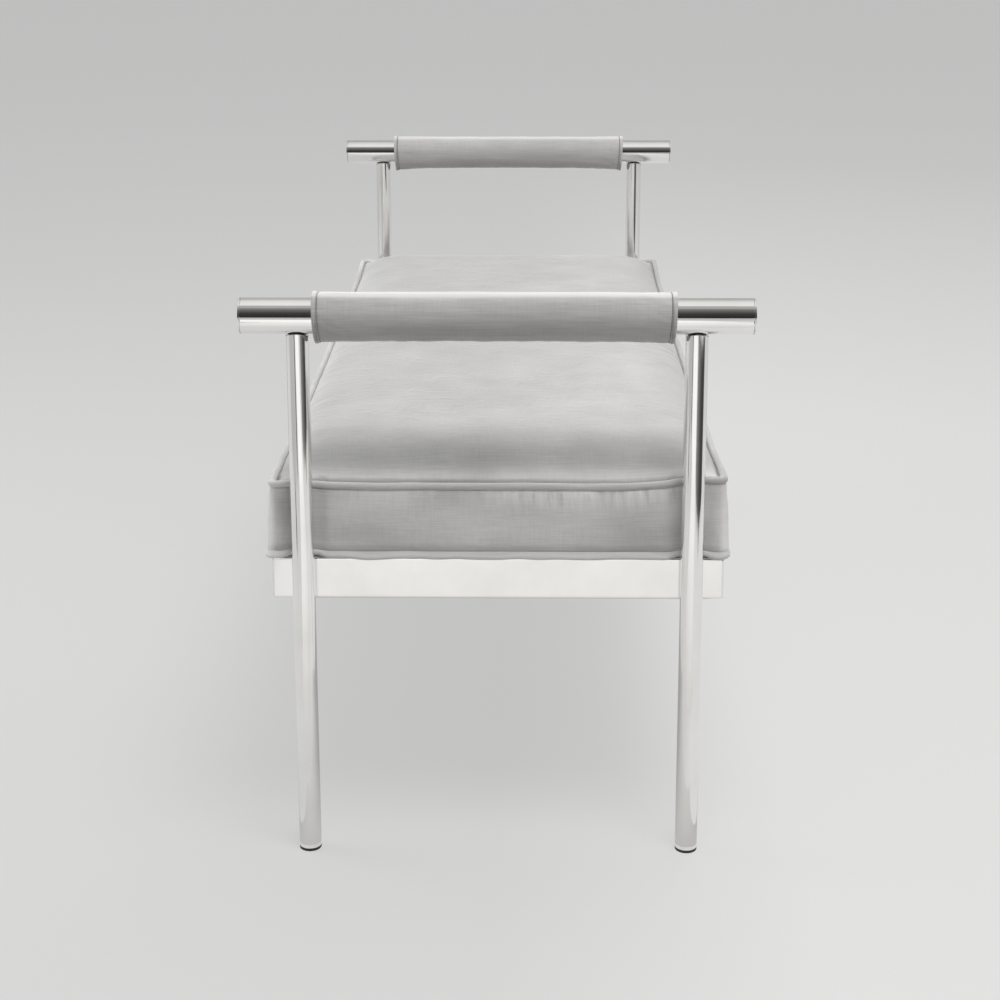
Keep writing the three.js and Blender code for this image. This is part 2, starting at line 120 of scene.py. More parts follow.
# Mesh building: points in rows, quads between them, and cloth coordinates in metres
CORNER_LEAD = 0.6  # straight lead beside a rounded corner, in radii
ROUND_STEPS = 4


def skin(rows, uv, wrap_rows=False):
    """Quads over closed rows of points. uv(row, column) gives a corner's place on the material."""
    count = len(rows[0])
    vertices = [point for row in rows for point in row]
    faces = []
    uvs = []
    for j in range(len(rows) if wrap_rows else len(rows) - 1):
        for i in range(count):
            corners = [(j, i), (j, i + 1), (j + 1, i + 1), (j + 1, i)]
            faces.append([(b % len(rows)) * count + a % count for b, a in corners])
            uvs.append([uv(b, a) for b, a in corners])
    return vertices, faces, uvs


def cap_ends(vertices, faces, uvs, count):
    """Closes the first and the last row of a skin with one face each."""
    first = list(range(count))
    last = list(range(len(vertices) - count, len(vertices)))
    for loop in (first[::-1], last):
        faces.append(loop)
        uvs.append([(vertices[i][0], vertices[i][1]) for i in loop])
    return vertices, faces, uvs


def add_piece(name, shape, material, replaced=()):
    """Adds a mesh as a piece of the bench that rides on the CAD and stands for its nodes."""
    vertices, faces, uvs = shape
    mesh = bpy.data.meshes.new(name)
    mesh.from_pydata([tuple(v) for v in vertices], [], faces)
    layer = mesh.uv_layers.new(name="cloth")
    flat = [value for face in uvs for corner in face for value in corner]
    layer.data.foreach_set("uv", flat)
    mesh.shade_smooth()
    mesh.materials.append(material)
    mesh.validate()
    piece = bpy.data.objects.new(name, mesh)
    bpy.context.collection.objects.link(piece)
    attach(piece, "root")
    if replaced:
        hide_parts(*replaced)
    return piece


def set_values(piece, name, values):
    """Gives a piece's points an attribute for its material."""
    layer = piece.data.attributes.new(name, "FLOAT", "POINT")
    layer.data.foreach_set("value", values)


def subdivide(piece):
    modifier = piece.modifiers.new("smooth", "SUBSURF")
    modifier.levels = 1
    modifier.render_levels = 1
    modifier.use_limit_surface = False


def ring_angles(sides):
    return [2 * pi * i / sides for i in range(sides)]


def around_upright(x, y):
    """Places points round an upright axis."""

    def place(radius, angle, z):
        return (x + radius * cos(angle), y + radius * sin(angle), z)

    return place


def around_bar(bar_x, side=1):
    """Places points round an end bar, with Y turned about on side -1."""

    def place(radius, angle, y):
        return (bar_x + radius * cos(angle), side * y, BAR_AXIS + radius * sin(angle))

    return place


def turned(profile, place, sides, closed):
    """Turns (radius, height) points round an axis. place(radius, angle, height) gives the point."""
    rows = []
    run = [0.0]
    for k, (radius, height) in enumerate(profile):
        rows.append([place(radius, angle, height) for angle in ring_angles(sides)])
        if k:
            run.append(run[-1] + dist(profile[k - 1], profile[k]))
    run.append(run[-1])
    around = 2 * pi * max(radius for radius, _ in profile)

    def uv(row, column):
        return (around * column / sides, run[row])

    shape = skin(rows, uv, wrap_rows=closed)
    return shape if closed else cap_ends(*shape, sides)


def quarter_round(centre, radius, start, steps=ROUND_STEPS):
    """Points of a quarter circle from a starting angle in degrees."""
    points = []
    for k in range(steps + 1):
        angle = radians(start) + pi / 2 * k / steps
        points.append((centre[0] + radius * cos(angle), centre[1] + radius * sin(angle)))
    return points


def rounded_corner(centre, radius, start, steps):
    """A quarter circle with a straight lead on both sides, which keeps the flat faces flat."""
    arc = quarter_round(centre, radius, start, steps)
    lead_x = CORNER_LEAD * radius * cos(radians(start))
    lead_y = CORNER_LEAD * radius * sin(radians(start))
    before = (arc[0][0] + lead_y, arc[0][1] - lead_x)
    after = (arc[-1][0] - lead_x, arc[-1][1] - lead_y)
    return [before, *arc, after]


# Shader building
NOISE_RANGE = (0.3, 0.7)  # most values of a noise lie between these
MIX_FACTOR, MIX_FIRST, MIX_SECOND = 0, 6, 7  # sockets of a Mix node for colours
MIX_RESULT = 2


class Shader:
    """A node material with one Principled shader, built up by short calls."""

    def __init__(self, name):
        self.material = bpy.data.materials.new(name)
        self.material.use_nodes = True
        self.tree = self.material.node_tree
        self.surface = self.tree.nodes["Principled BSDF"]

    def feed(self, socket, value):
        """Links an output to a socket, or sets the socket's own value."""
        if isinstance(value, bpy.types.NodeSocket):
            self.tree.links.new(value, socket)
        else:
            socket.default_value = value

    def node(self, kind, inputs=None, **settings):
        made = self.tree.nodes.new(kind)
        for key, value in settings.items():
            setattr(made, key, value)
        for key, value in (inputs or {}).items():
            self.feed(made.inputs[key], value)
        return made

    def coordinates(self, source, scale, turn=0.0):
        texture = self.node("ShaderNodeTexCoord")
        inputs = {"Vector": texture.outputs[source], "Rotation": (0, 0, turn), "Scale": scale}
        return self.node("ShaderNodeMapping", inputs).outputs["Vector"]

    def noise(self, vector, detail, roughness=0.5):
        inputs = {"Vector": vector, "Scale": 1.0, "Detail": detail, "Roughness": roughness}
        return self.node("ShaderNodeTexNoise", inputs).outputs["Fac"]

    def solid(self, scale, **settings):
        """Noise through the body of a piece, by its cycles per metre along X, Y and Z."""
        return self.noise(self.coordinates("Object", scale), **settings)

    def woven(self, scale, turn=0.0, **settings):
        """Noise on the surface of a piece, by its cycles per metre along and across."""
        return self.noise(self.coordinates("UV", scale, turn), **settings)

    def along(self, axis):
        """Place along an axis of the room."""
        place = self.coordinates("Object", (1, 1, 1))
        return self.node("ShaderNodeSeparateXYZ", {"Vector": place}).outputs[axis]

    def math(self, operation, *values):
        return self.node("ShaderNodeMath", dict(enumerate(values)), operation=operation).outputs[0]

    def vector(self, operation, *values):
        return self.node("ShaderNodeVectorMath", dict(enumerate(values)), operation=operation)

    def ramp(self, factor, stops):
        made = self.node("ShaderNodeValToRGB", {"Fac": factor})
        elements = made.color_ramp.elements
        while len(elements) < len(stops):
            elements.new(0.5)
        for element, (position, colour) in zip(elements, stops):
            element.position = position
            element.color = (*colour, 1.0)
        return made.outputs["Color"]

    def tint(self, factor, low, high):
        """Goes from one colour to another over a noise's middle range."""
        return self.ramp(factor, list(zip(NOISE_RANGE, (low, high))))

    def mix(self, factor, first, second):
        inputs = {MIX_FACTOR: factor, MIX_FIRST: first, MIX_SECOND: second}
        return self.node("ShaderNodeMix", inputs, data_type="RGBA").outputs[MIX_RESULT]

    def remap(self, value, span, result):
        """Carries the values of a span over to those of the result, and no further."""
        inputs = {"Value": value, "From Min": span[0], "From Max": span[1]}
        inputs.update({"To Min": result[0], "To Max": result[1]})
        return self.node("ShaderNodeMapRange", inputs).outputs["Result"]

    def spread(self, factor, low, high):
        """Carries a noise's middle range over to the values from low to high."""
        return self.remap(factor, NOISE_RANGE, (low, high))

    def bump(self, height, strength, distance, normal=None):
        inputs = {"Height": height, "Strength": strength, "Distance": distance}
        if normal is not None:
            inputs["Normal"] = normal
        return self.node("ShaderNodeBump", inputs).outputs["Normal"]

    def set(self, **sockets):
        for name, value in sockets.items():
            self.feed(self.surface.inputs[name.replace("_", " ")], value)


# Silver-grey velvet with a slubbed weave. A point attribute holds random streaks and clouds of the pile
# together with painted light and shade: 0 is even, less is darker and more is lighter. The point
# attribute "gather" puckers the cloth, and its folds get painted light and shade.
SLUBS = (22, 700, 1)  # noise cycles per metre along and across the cloth
RIBS = (820, 30, 1)
CLOUDS = (8, 14, 1)
PILE = (2400, 2400, 1)
FOLDS = (140, 22, 1)
SLUB_SHARE = 0.7  # of the weave's tone, the rest being ribs
WEAVE_TONE = 0.5
CLOUD_TONE = 0.3
EVEN_TONE = 0.1
FOLD_LEVEL = 0.36  # noise above this is a raised fold
# Painted light on the raised folds of the gathers, and painted shade between them
FOLD_PAINTED_SHADING = 1.3
DEEP = 0.62  # of the dark colour, where painted shade darkens the velvet most
BRIGHT = 1.22  # of the light colour, where painted light lightens it most
# Painted sheen: the colour turns lighter towards the outline of each piece, and more where painted
# light lifts it
PAINTED_SHEEN_POWER = 6.0
PAINTED_SHEEN_SHARE = 0.85
PAINTED_SHEEN_COLOUR = (0.90, 0.895, 0.885, 1)
PILE_RELIEF = 0.35


def velvet(name, dark, light, turn=0.0):
    shader = Shader(name)
    slubs = shader.woven(SLUBS, turn, detail=4, roughness=0.6)
    ribs = shader.woven(RIBS, turn, detail=3)
    clouds = shader.woven(CLOUDS, turn, detail=4, roughness=0.6)
    pile = shader.woven(PILE, turn, detail=1)
    ribbed = shader.math("MULTIPLY", ribs, 1 - SLUB_SHARE)
    weave = shader.math("MULTIPLY_ADD", slubs, SLUB_SHARE, ribbed)
    mottled = shader.math("MULTIPLY_ADD", clouds, CLOUD_TONE, EVEN_TONE)
    # Painted light and shade from a point attribute, with random streaks and clouds of the pile
    nap_with_painted_light = shader.node("ShaderNodeAttribute", attribute_name="nap_and_painted_light").outputs["Fac"]
    gathered = shader.node("ShaderNodeAttribute", attribute_name="gather").outputs["Fac"]
    # Folds of the gathers: a bump, and painted light on their ridges and painted shade between them
    raised = shader.math("SUBTRACT", shader.woven(FOLDS, detail=2), FOLD_LEVEL)
    folds = shader.math("MULTIPLY", gathered, raised)
    tone = shader.math("ADD", shader.math("MULTIPLY_ADD", weave, WEAVE_TONE, mottled), nap_with_painted_light)
    tone = shader.math("MULTIPLY_ADD", folds, FOLD_PAINTED_SHADING, tone)
    deep = [DEEP * c for c in dark]
    bright = [BRIGHT * c for c in light]
    flat = shader.ramp(tone, [(0.05, deep), (0.36, dark), (0.64, light), (1.0, bright)])
    # Painted sheen mixed into the colour towards the outline, and where the painted light is high
    facing = shader.node("ShaderNodeLayerWeight", {"Blend": 0.5}).outputs["Facing"]
    painted_sheen = shader.math("MULTIPLY", shader.math("MAXIMUM", nap_with_painted_light, 0.0), facing)
    rim = shader.math("MULTIPLY_ADD", shader.math("POWER", facing, PAINTED_SHEEN_POWER), PAINTED_SHEEN_SHARE, painted_sheen)
    relief = shader.math("MULTIPLY_ADD", pile, PILE_RELIEF, weave)
    shader.set(
        Base_Color=shader.mix(rim, flat, PAINTED_SHEEN_COLOUR),
        Roughness=shader.spread(clouds, 0.78, 0.95),
        Normal=shader.bump(folds, 0.6, 6 * MM, shader.bump(relief, 0.4, 0.5 * MM)),
        Sheen_Weight=0.2,
        Sheen_Roughness=0.35,
        Specular_IOR_Level=0.15,
    )
    return shader.material


# Polished stainless steel with fine polishing marks and finger smudges
def polished_steel(name):
    shader = Shader(name)
    smudge = shader.solid((14, 14, 14), detail=4, roughness=0.6)
    marks = shader.woven((60, 2600, 1), detail=2)
    ripple = shader.solid((45, 45, 45), detail=1)
    shader.set(
        Base_Color=shader.tint(smudge, (0.86, 0.855, 0.84), (0.93, 0.925, 0.91)),
        Metallic=1.0,
        Roughness=shader.spread(smudge, 0.05, 0.11),
        Normal=shader.bump(ripple, 0.04, 0.4 * MM, shader.bump(marks, 0.03, 0.05 * MM)),
    )
    return shader.material


# Zinc-plated steel of the hidden rails, plates and fasteners
def plain_steel(name):
    shader = Shader(name)
    spangle = shader.solid((160, 160, 160), detail=3)
    stain = shader.solid((18, 18, 18), detail=4, roughness=0.65)
    shader.set(
        Base_Color=shader.tint(stain, (0.40, 0.40, 0.39), (0.56, 0.56, 0.545)),
        Metallic=1.0,
        Roughness=shader.spread(spangle, 0.34, 0.55),
        Normal=shader.bump(spangle, 0.08, 0.2 * MM),
    )
    return shader.material


# Moulded black nylon of the glides
def black_nylon(name):
    shader = Shader(name)
    grain = shader.solid((1400, 1400, 1400), detail=2)
    scuff = shader.solid((90, 90, 220), detail=4, roughness=0.7)
    shader.set(
        Base_Color=shader.ramp(scuff, [(0.45, (0.012, 0.012, 0.012)), (0.75, (0.045, 0.044, 0.042))]),
        Roughness=shader.spread(scuff, 0.42, 0.62),
        Normal=shader.bump(grain, 0.15, 0.1 * MM),
    )
    return shader.material


# Birch plywood of the seat board
def plywood(name):
    shader = Shader(name)
    grain = shader.solid((9, 190, 190), detail=5, roughness=0.6)
    plies = shader.solid((4, 4, 700), detail=1)
    tone = shader.math("MULTIPLY_ADD", grain, 0.7, shader.math("MULTIPLY", plies, 0.3))
    shader.set(
        Base_Color=shader.tint(tone, (0.36, 0.22, 0.11), (0.60, 0.42, 0.24)),
        Roughness=0.7,
        Normal=shader.bump(grain, 0.15, 0.2 * MM),
    )
    return shader.material


# Thin black non-woven cloth under the seat board
def dust_fabric(name):
    shader = Shader(name)
    fibres = shader.solid((700, 220, 220), detail=4, roughness=0.7)
    dents = shader.solid((420, 420, 420), detail=0)
    shader.set(
        Base_Color=shader.tint(fibres, (0.010, 0.010, 0.011), (0.034, 0.034, 0.036)),
        Roughness=0.9,
        Normal=shader.bump(dents, 0.4, 0.3 * MM),
        Sheen_Weight=0.15,
    )
    return shader.material


# Twisted grey sewing thread
def sewing_thread(name):
    shader = Shader(name)
    twist = shader.woven((5200, 2600, 1), radians(35), detail=1)
    shader.set(
        Base_Color=shader.tint(twist, (0.115, 0.113, 0.112), (0.235, 0.232, 0.228)),
        Roughness=0.6,
        Normal=shader.bump(twist, 0.3, 0.1 * MM),
    )
    return shader.material


steel = polished_steel("polished_steel_tube")
thread = sewing_thread("sewing_thread")
zinc = plain_steel("zinc_plated_steel")
nylon = black_nylon("moulded_nylon")
cushion_velvet = velvet("cushion_velvet", (0.466, 0.462, 0.456), (0.665, 0.660, 0.650))
sleeve_velvet = velvet("sleeve_velvet", (0.335, 0.329, 0.325), (0.520, 0.513, 0.506))
welt_velvet = velvet("welt_velvet", (0.425, 0.421, 0.415), (0.620, 0.615, 0.605), radians(45))
board_wood = plywood("birch_plywood")
under_cloth = dust_fabric("dust_cover_cloth")


# Legs: round tube, the top ground to the round of the bar
LEG_SIDES = 96
LEG_EDGE = 0.5 * MM
JOINT_GAP = 1.6 * MM  # dark joint between the leg and the bar


def leg_top(x):
    """Height of the coped end above a point at x from the leg's axis."""
    return BAR_AXIS - sqrt((BAR_RADIUS + JOINT_GAP) ** 2 - x**2)


def leg_shape(leg_x, leg_y):
    bore = LEG_RADIUS - LEG_WALL
    rim = LEG_RADIUS - LEG_EDGE
    straight = [LEG_FOOT + LEG_EDGE, LEG_FOOT + 2 * LEG_EDGE, RAIL_FOOT, RAIL_HEAD]
    straight.append(BAR_AXIS - 2 * BAR_RADIUS)
    rings = [(bore, LEG_FOOT), (rim, LEG_FOOT)] + [(LEG_RADIUS, z) for z in straight]
    tops = [(LEG_RADIUS, 2 * LEG_EDGE), (LEG_RADIUS, LEG_EDGE), (rim, 0.0), (bore, 0.0)]
    place = around_upright(leg_x, leg_y)
    angles = ring_angles(LEG_SIDES)
    rows = [[place(radius, a, z) for a in angles] for radius, z in rings]
    for radius, below in tops:
        rows.append([place(radius, a, leg_top(radius * cos(a)) - below) for a in angles])
    heights = [z for _, z in rings] + [BAR_AXIS - below for _, below in tops]
    heights.append(heights[-1])

    def uv(row, column):
        return (2 * pi * LEG_RADIUS * column / LEG_SIDES, heights[row])

    return skin(rows, uv, wrap_rows=True)


# Glides: a turned foot with a rounded sole
GLIDE_SIDES = 64
GLIDE_EDGE = 0.8 * MM


def glide_shape(leg_x, leg_y):
    edge = GLIDE_EDGE
    sole = glide_low.z
    head = glide_high.z
    flange = LEG_FOOT - FIT
    radius = LEG_RADIUS
    plug = LEG_RADIUS - LEG_WALL - FIT
    profile = [(radius - 5 * edge, sole), (radius - 2 * edge, sole)]
    profile += quarter_round((radius - edge, sole + edge), edge, -90)
    profile += [(radius, flange - edge / 4), (radius - edge / 4, flange), (plug, flange)]
    profile += [(plug, flange + edge), (plug, head - edge), (plug - edge, head)]
    return turned(profile, around_upright(leg_x, leg_y), GLIDE_SIDES, closed=False)


# End bars and their caps, turned round the bar's axis
BAR_SIDES = 128
BAR_EDGE = 0.3 * MM
CAP_EDGE = 0.6 * MM


def bar_shape(bar_x):
    bore = BAR_RADIUS - BAR_WALL
    profile = [(bore, BAR_HALF), (BAR_RADIUS - BAR_EDGE, BAR_HALF), (BAR_RADIUS, BAR_HALF - BAR_EDGE)]
    profile += [(BAR_RADIUS, BAR_HALF - 3 * BAR_EDGE), (BAR_RADIUS, LEG_Y), (BAR_RADIUS, 0.0)]
    profile += [(radius, -y) for radius, y in reversed(profile[:-1])]
    return turned(profile, around_bar(bar_x), BAR_SIDES, closed=True)


def cap_shape(bar_x, side):
    edge = CAP_EDGE
    bore = BAR_RADIUS - BAR_WALL - FIT
    seat = BAR_HALF + FIT
    inner = cap_low.y
    profile = [(bore - edge, inner), (bore, inner + edge), (bore, seat), (BAR_RADIUS - edge / 3, seat)]
    profile.append((BAR_RADIUS, seat + edge / 3))
    profile += quarter_round((BAR_RADIUS - edge, CAP_OUTER - edge), edge, 0)
    profile += [(BAR_RADIUS - 3 * edge, CAP_OUTER), (BAR_RADIUS / 2, CAP_OUTER)]
    return turned(profile, around_bar(bar_x, side), BAR_SIDES, closed=False)


# Seat frame: rectangular tube with mitred ends and ground upright corners
CORNER_STEPS = 5
RAIL_LEAD = 3 * RAIL_WIDTH  # the straight part's own rows lie this far from the ends


def rail_section():
    """Outline of the tube as (depth behind the outer face, height)."""
    low = RAIL_FOOT + RAIL_CORNER
    high = RAIL_HEAD - RAIL_CORNER
    near = RAIL_CORNER
    far = RAIL_WIDTH - RAIL_CORNER
    corners = [((near, low), 180), ((far, low), 270), ((far, high), 0), ((near, high), 90)]
    section = []
    for centre, start in corners:
        section += rounded_corner(centre, RAIL_CORNER, start, CORNER_STEPS)
    return section


def mitre_row(section, outer, half, k):
    """Points across and along a rail at a step of the frame's round corner."""
    angle = pi / 4 * k / CORNER_STEPS
    row = []
    for depth, z in section:
        round_off = FRAME_CORNER - depth
        if depth < FRAME_CORNER:
            across = outer - FRAME_CORNER + round_off * cos(angle)
            along = half - FRAME_CORNER + round_off * sin(angle)
        else:
            across = outer - depth
            along = half - FRAME_CORNER + round_off * k / CORNER_STEPS
        row.append((across, along, z))
    return row


def rail_shape(outer, half, place):
    """A rail whose outer face lies at outer and whose mitred ends lie at plus and minus half."""
    section = rail_section()
    straight = half - RAIL_LEAD
    mitres = [mitre_row(section, outer, half, k) for k in range(CORNER_STEPS + 1)]
    ends = [half - FRAME_CORNER * (1 - k / CORNER_STEPS) for k in range(CORNER_STEPS + 1)]
    rows = [[place(across, -along, z) for across, along, z in row] for row in reversed(mitres)]
    for station in (-straight, straight):
        rows.append([place(outer - depth, station, z) for depth, z in section])
    rows += [[place(across, along, z) for across, along, z in row] for row in mitres]
    stations = [*(-end for end in reversed(ends)), -straight, straight, *ends]
    girth = 2 * (RAIL_WIDTH + RAIL_HEAD - RAIL_FOOT)

    def uv(row, column):
        return (girth * column / len(section), stations[row])

    return cap_ends(*skin(rows, uv), len(section))


def end_rail_place(side):
    def place(across, along, z):
        return (side * across, side * along, z)

    return place


def side_rail_place(side):
    def place(across, along, z):
        return (-side * along, side * across, z)

    return place


def add_tube(name, shape, node):
    add_piece(name, shape, steel, [node])


def add_steel():
    for end, x_side in ENDS.items():
        bar_x = x_side * LEG_X
        add_tube(f"{end}_bar_tube", bar_shape(bar_x), f"{end}_end_bar")
        for row, y_side in ROWS.items():
            corner = f"{end}_{row}"
            leg_y = y_side * LEG_Y
            add_tube(f"{corner}_leg_tube", leg_shape(bar_x, leg_y), f"{corner}_leg")
            glide = glide_shape(bar_x, leg_y)
            add_piece(f"{corner}_foot", glide, nylon, [f"{corner}_glide"])
            add_tube(f"{corner}_bar_end", cap_shape(bar_x, y_side), f"{corner}_bar_cap")
        rail = rail_shape(FRAME_X, FRAME_Y, end_rail_place(x_side))
        add_tube(f"{end}_apron", rail, f"{end}_end_rail")
    for row, y_side in ROWS.items():
        rail = rail_shape(FRAME_Y, FRAME_X, side_rail_place(y_side))
        add_tube(f"{row}_apron", rail, f"{row}_side_rail")


# Seat cushion: its outline at a given inset from the outside of the bottom welt
BULGE_CLEAR = (2 * MM, 4 * WELT_RADIUS)  # how far beside a leg the ends' bulge starts and is full
BOW_POWER = 7  # the bows of the sides fade this fast towards the middle of the seat


def clear_of_legs(y):
    """Share of the ends' bulge at a distance from the middle: none behind the legs."""
    return smooth_step(*BULGE_CLEAR, abs(abs(y) - LEG_Y) - LEG_RADIUS)


def on_outline(s, t, inset, corner):
    """Point at the shares s and t, from -1 to 1, of a rectangle with round, slightly bowed sides."""
    half_x = SEAT_X - inset
    half_y = SEAT_Y - inset
    x = s * half_x
    y = t * half_y
    a = (abs(x) - half_x + corner) / corner
    b = (abs(y) - half_y + corner) / corner
    if a > 0 and b > 0:
        x = copysign(half_x - corner + corner * a * sqrt(1 - b * b / 2), x)
        y = copysign(half_y - corner + corner * b * sqrt(1 - a * a / 2), y)
    x += END_BULGE * s * abs(s) ** BOW_POWER * clear_of_legs(y)
    y -= SIDE_DRAW * t * abs(t) ** BOW_POWER * max(0.0, 1 - (x / half_x) ** 2)
    return x, y


# The grid of the top panel, finer near its edges and finest along the seams
GRADED_REACH = 32 * MM
FINE_STEP = 4 * MM
COARSE_STEP = 5 * MM
SEAM_STEPS = (1.4 * MM, 2.8 * MM)


def graded(half):
    """Shares from -1 to 1 of a length, closer together near both ends and closest along the seams."""
    edge_steps = round(GRADED_REACH / FINE_STEP)
    edge = [0.0, *SEAM_STEPS, *(FINE_STEP * k for k in range(1, edge_steps))]
    inner = half - GRADED_REACH
    middle_steps = round(2 * inner / COARSE_STEP)
    places = [-half + step for step in edge]
    places += [-inner + 2 * inner * k / middle_steps for k in range(middle_steps + 1)]
    places += [half - step for step in reversed(edge)]
    return [place / half for place in places]


along_shares = graded(PANEL_X)
across_shares = graded(PANEL_Y)
edge_shares = [(1.0, t) for t in across_shares[:-1]]
edge_shares += [(s, 1.0) for s in reversed(along_shares[1:])]
edge_shares += [(-1.0, t) for t in reversed(across_shares[1:])]
edge_shares += [(s, -1.0) for s in along_shares[:-1]]
EDGE_COUNT = len(edge_shares)

# How far the top seam stands above its drawn height at each corner, by the signs of x and y
CORNER_LIFTS = {(1, 1): 9 * MM, (1, -1): 2.5 * MM, (-1, 1): 10 * MM, (-1, -1): 10 * MM}
LIFT_X = SEAT_X - 160 * MM
LIFT_Y = SEAT_Y - 130 * MM
SEAM_WAVE = 0.7 * MM
RUFFLE = 0.3 * MM
LIFT_POWER = 6  # the seam's lift fades this fast towards the middle of the top


def seam_lift(x, y):
    """How far the top seam and welt stand above their drawn height at a point of the outline."""
    height = CORNER_LIFTS[(1 if x > 0 else -1, 1 if y > 0 else -1)]
    raised = height * smooth_step(LIFT_X, SEAT_X, abs(x)) * smooth_step(LIFT_Y, SEAT_Y, abs(y))
    return raised + SEAM_WAVE * uneven(11 * x, 11 * y, 3.1)


def crown_rise(x, y):
    end = 1 - exp(-max(PANEL_X - abs(x), 0.0) / CROWN_REACH)
    side = 1 - exp(-max(PANEL_Y - abs(y), 0.0) / CROWN_REACH)
    return CROWN_HEIGHT * end * side


# Boxing: rows round the cushion, tucked in behind both welts
BOXING_ROWS = 15
BOXING_ROUND = 9 * MM  # the boxing is rounder at the corners than the welts
BOXING_TUCK = 0.7 * WELT_RADIUS  # its visible rows start and end this far past the welts' middles
PANEL_TUCK = 0.4 * MM
MOST_CORNER_LOSS = 0.55 * SEAT_CORNER  # an inset takes no more than this off a corner's radius


def boxing_inset(share):
    return BOXING_SETBACK + WELT_TAPER * share - BOXING_SWELL * sin(pi * share)


def boxing_row_plan():
    """Inset, height, share of the top seam's lift and extra corner round of each row, upwards."""
    foot = LOW_WELT + BOXING_TUCK
    head = TOP_WELT - BOXING_TUCK
    plan = [(BOXING_SETBACK + 2 * WELT_RADIUS, LOW_WELT - 0.4 * WELT_RADIUS, 0.0, 0.0)]
    plan.append((BOXING_SETBACK + WELT_RADIUS, LOW_WELT, 0.0, 0.0))
    for k in range(BOXING_ROWS + 1):
        share = k / BOXING_ROWS
        round_off = BOXING_ROUND * sin(pi * share)
        plan.append((boxing_inset(share), between((foot, head), share), share**2, round_off))
    plan.append((WELT_TAPER + 1.2 * WELT_RADIUS, TOP_WELT - 0.9 * WELT_RADIUS, 1.0, 0.0))
    plan.append((PANEL_INSET - PANEL_TUCK, TOP_WELT - 0.5 * WELT_RADIUS, 1.0, 0.0))
    return plan


row_plan = boxing_row_plan()


def boxing_ring(inset, z, lift_share, round_off):
    ring = []
    corner = SEAT_CORNER + round_off - min(inset, MOST_CORNER_LOSS)
    for s, t in edge_shares:
        x, y = on_outline(s, t, inset, corner)
        ring.append(Vector((x, y, z + lift_share * seam_lift(x, y))))
    return ring


def run_lengths(ring):
    """Distance along a closed ring of points, up to its start again."""
    total = [0.0]
    for k in range(len(ring)):
        total.append(total[-1] + (ring[(k + 1) % len(ring)] - ring[k]).length)
    return total


# The whole cover, and how firmly stuffing and seams hold each point, from 0, free, to 1, fixed
TOP_HOLD = 0.35
BOXING_HOLD = 0.3
SEWN_ROWS = 3  # rows at the boxing's foot and head that the seams hold


def cushion_shape():
    """Closed cushion: boxing rows from the foot to the top seam, the crowned top and a floor."""
    rings = [boxing_ring(*row) for row in row_plan]
    girth = run_lengths(rings[len(rings) // 2])

    def band_uv(row, column):
        return (girth[column], row_plan[row][1])

    vertices, faces, uvs = skin(rings, band_uv)
    hold = []
    for row in range(len(rings)):
        sewn = row < SEWN_ROWS or row >= len(rings) - SEWN_ROWS
        hold += [1.0 if sewn else BOXING_HOLD] * EDGE_COUNT
    floor = list(range(EDGE_COUNT))[::-1]
    faces.append(floor)
    uvs.append([(vertices[i].x, vertices[i].y) for i in floor])
    index = add_panel_points(vertices)
    hold += [TOP_HOLD] * (len(vertices) - len(hold))
    for i in range(len(along_shares) - 1):
        for j in range(len(across_shares) - 1):
            steps = ((i, j), (i + 1, j), (i + 1, j + 1), (i, j + 1))
            corners = [index[(along_shares[a], across_shares[b])] for a, b in steps]
            faces.append(corners)
            uvs.append([(vertices[c].y, vertices[c].x) for c in corners])
    return (vertices, faces, uvs), hold


def add_panel_points(vertices):
    """Adds the points inside the top seam, and gives all the panel's points by their shares."""
    seam_start = len(vertices) - EDGE_COUNT
    index = {shares: seam_start + k for k, shares in enumerate(edge_shares)}
    for s in along_shares[1:-1]:
        for t in across_shares[1:-1]:
            x, y = on_outline(s, t, PANEL_INSET, SEAT_CORNER - MOST_CORNER_LOSS)
            lift = max(abs(s), abs(t)) ** LIFT_POWER * seam_lift(x, y)
            index[(s, t)] = len(vertices)
            z = TOP_WELT + crown_rise(x, y) + lift + RUFFLE * uneven(34 * x, 34 * y, 1.7)
            vertices.append(Vector((x, y, z)))
    return index


# The cover settles as cloth: a little too large for the stuffing, and pressed outwards by it
SPARE_CLOTH = 0.004
COVER_CLOTH = {
    "quality": 4,
    "mass": 0.3,
    "tension_stiffness": 20,
    "compression_stiffness": 20,
    "shear_stiffness": 8,
    "bending_stiffness": 0.6,
    "vertex_group_mass": "hold",
    "pin_stiffness": 1.0,
    "shrink_min": -SPARE_CLOTH,
    "use_pressure": True,
    "uniform_pressure_force": 2.0,
}
SETTLE_FRAMES = 14
MOST_MOVE = 7 * MM


def settle(vertices, faces, hold):
    mesh = bpy.data.meshes.new("cover")
    quads = [face for face in faces if len(face) == 4]
    mesh.from_pydata([tuple(v) for v in vertices], [], quads)
    cover = bpy.data.objects.new("cover", mesh)
    bpy.context.collection.objects.link(cover)
    group = cover.vertex_groups.new(name="hold")
    for weight in set(hold):
        group.add([i for i, held in enumerate(hold) if held == weight], weight, "REPLACE")
    cloth = cover.modifiers.new("cloth", "CLOTH")
    for name, value in COVER_CLOTH.items():
        setattr(cloth.settings, name, value)
    cloth.settings.effector_weights.gravity = 0
    cloth.collision_settings.use_collision = False
    cloth.point_cache.frame_start = 1
    cloth.point_cache.frame_end = SETTLE_FRAMES
    for number in range(1, SETTLE_FRAMES + 1):
        bpy.context.scene.frame_set(number)
    settled = cover.evaluated_get(bpy.context.evaluated_depsgraph_get())
    moved = []
    for start, vertex in zip(vertices, settled.data.vertices):
        way = vertex.co - start
        if way.length > MOST_MOVE:
            way *= MOST_MOVE / way.length
        moved.append(start + way)
    bpy.context.scene.frame_set(1)
    bpy.data.objects.remove(cover)
    return moved


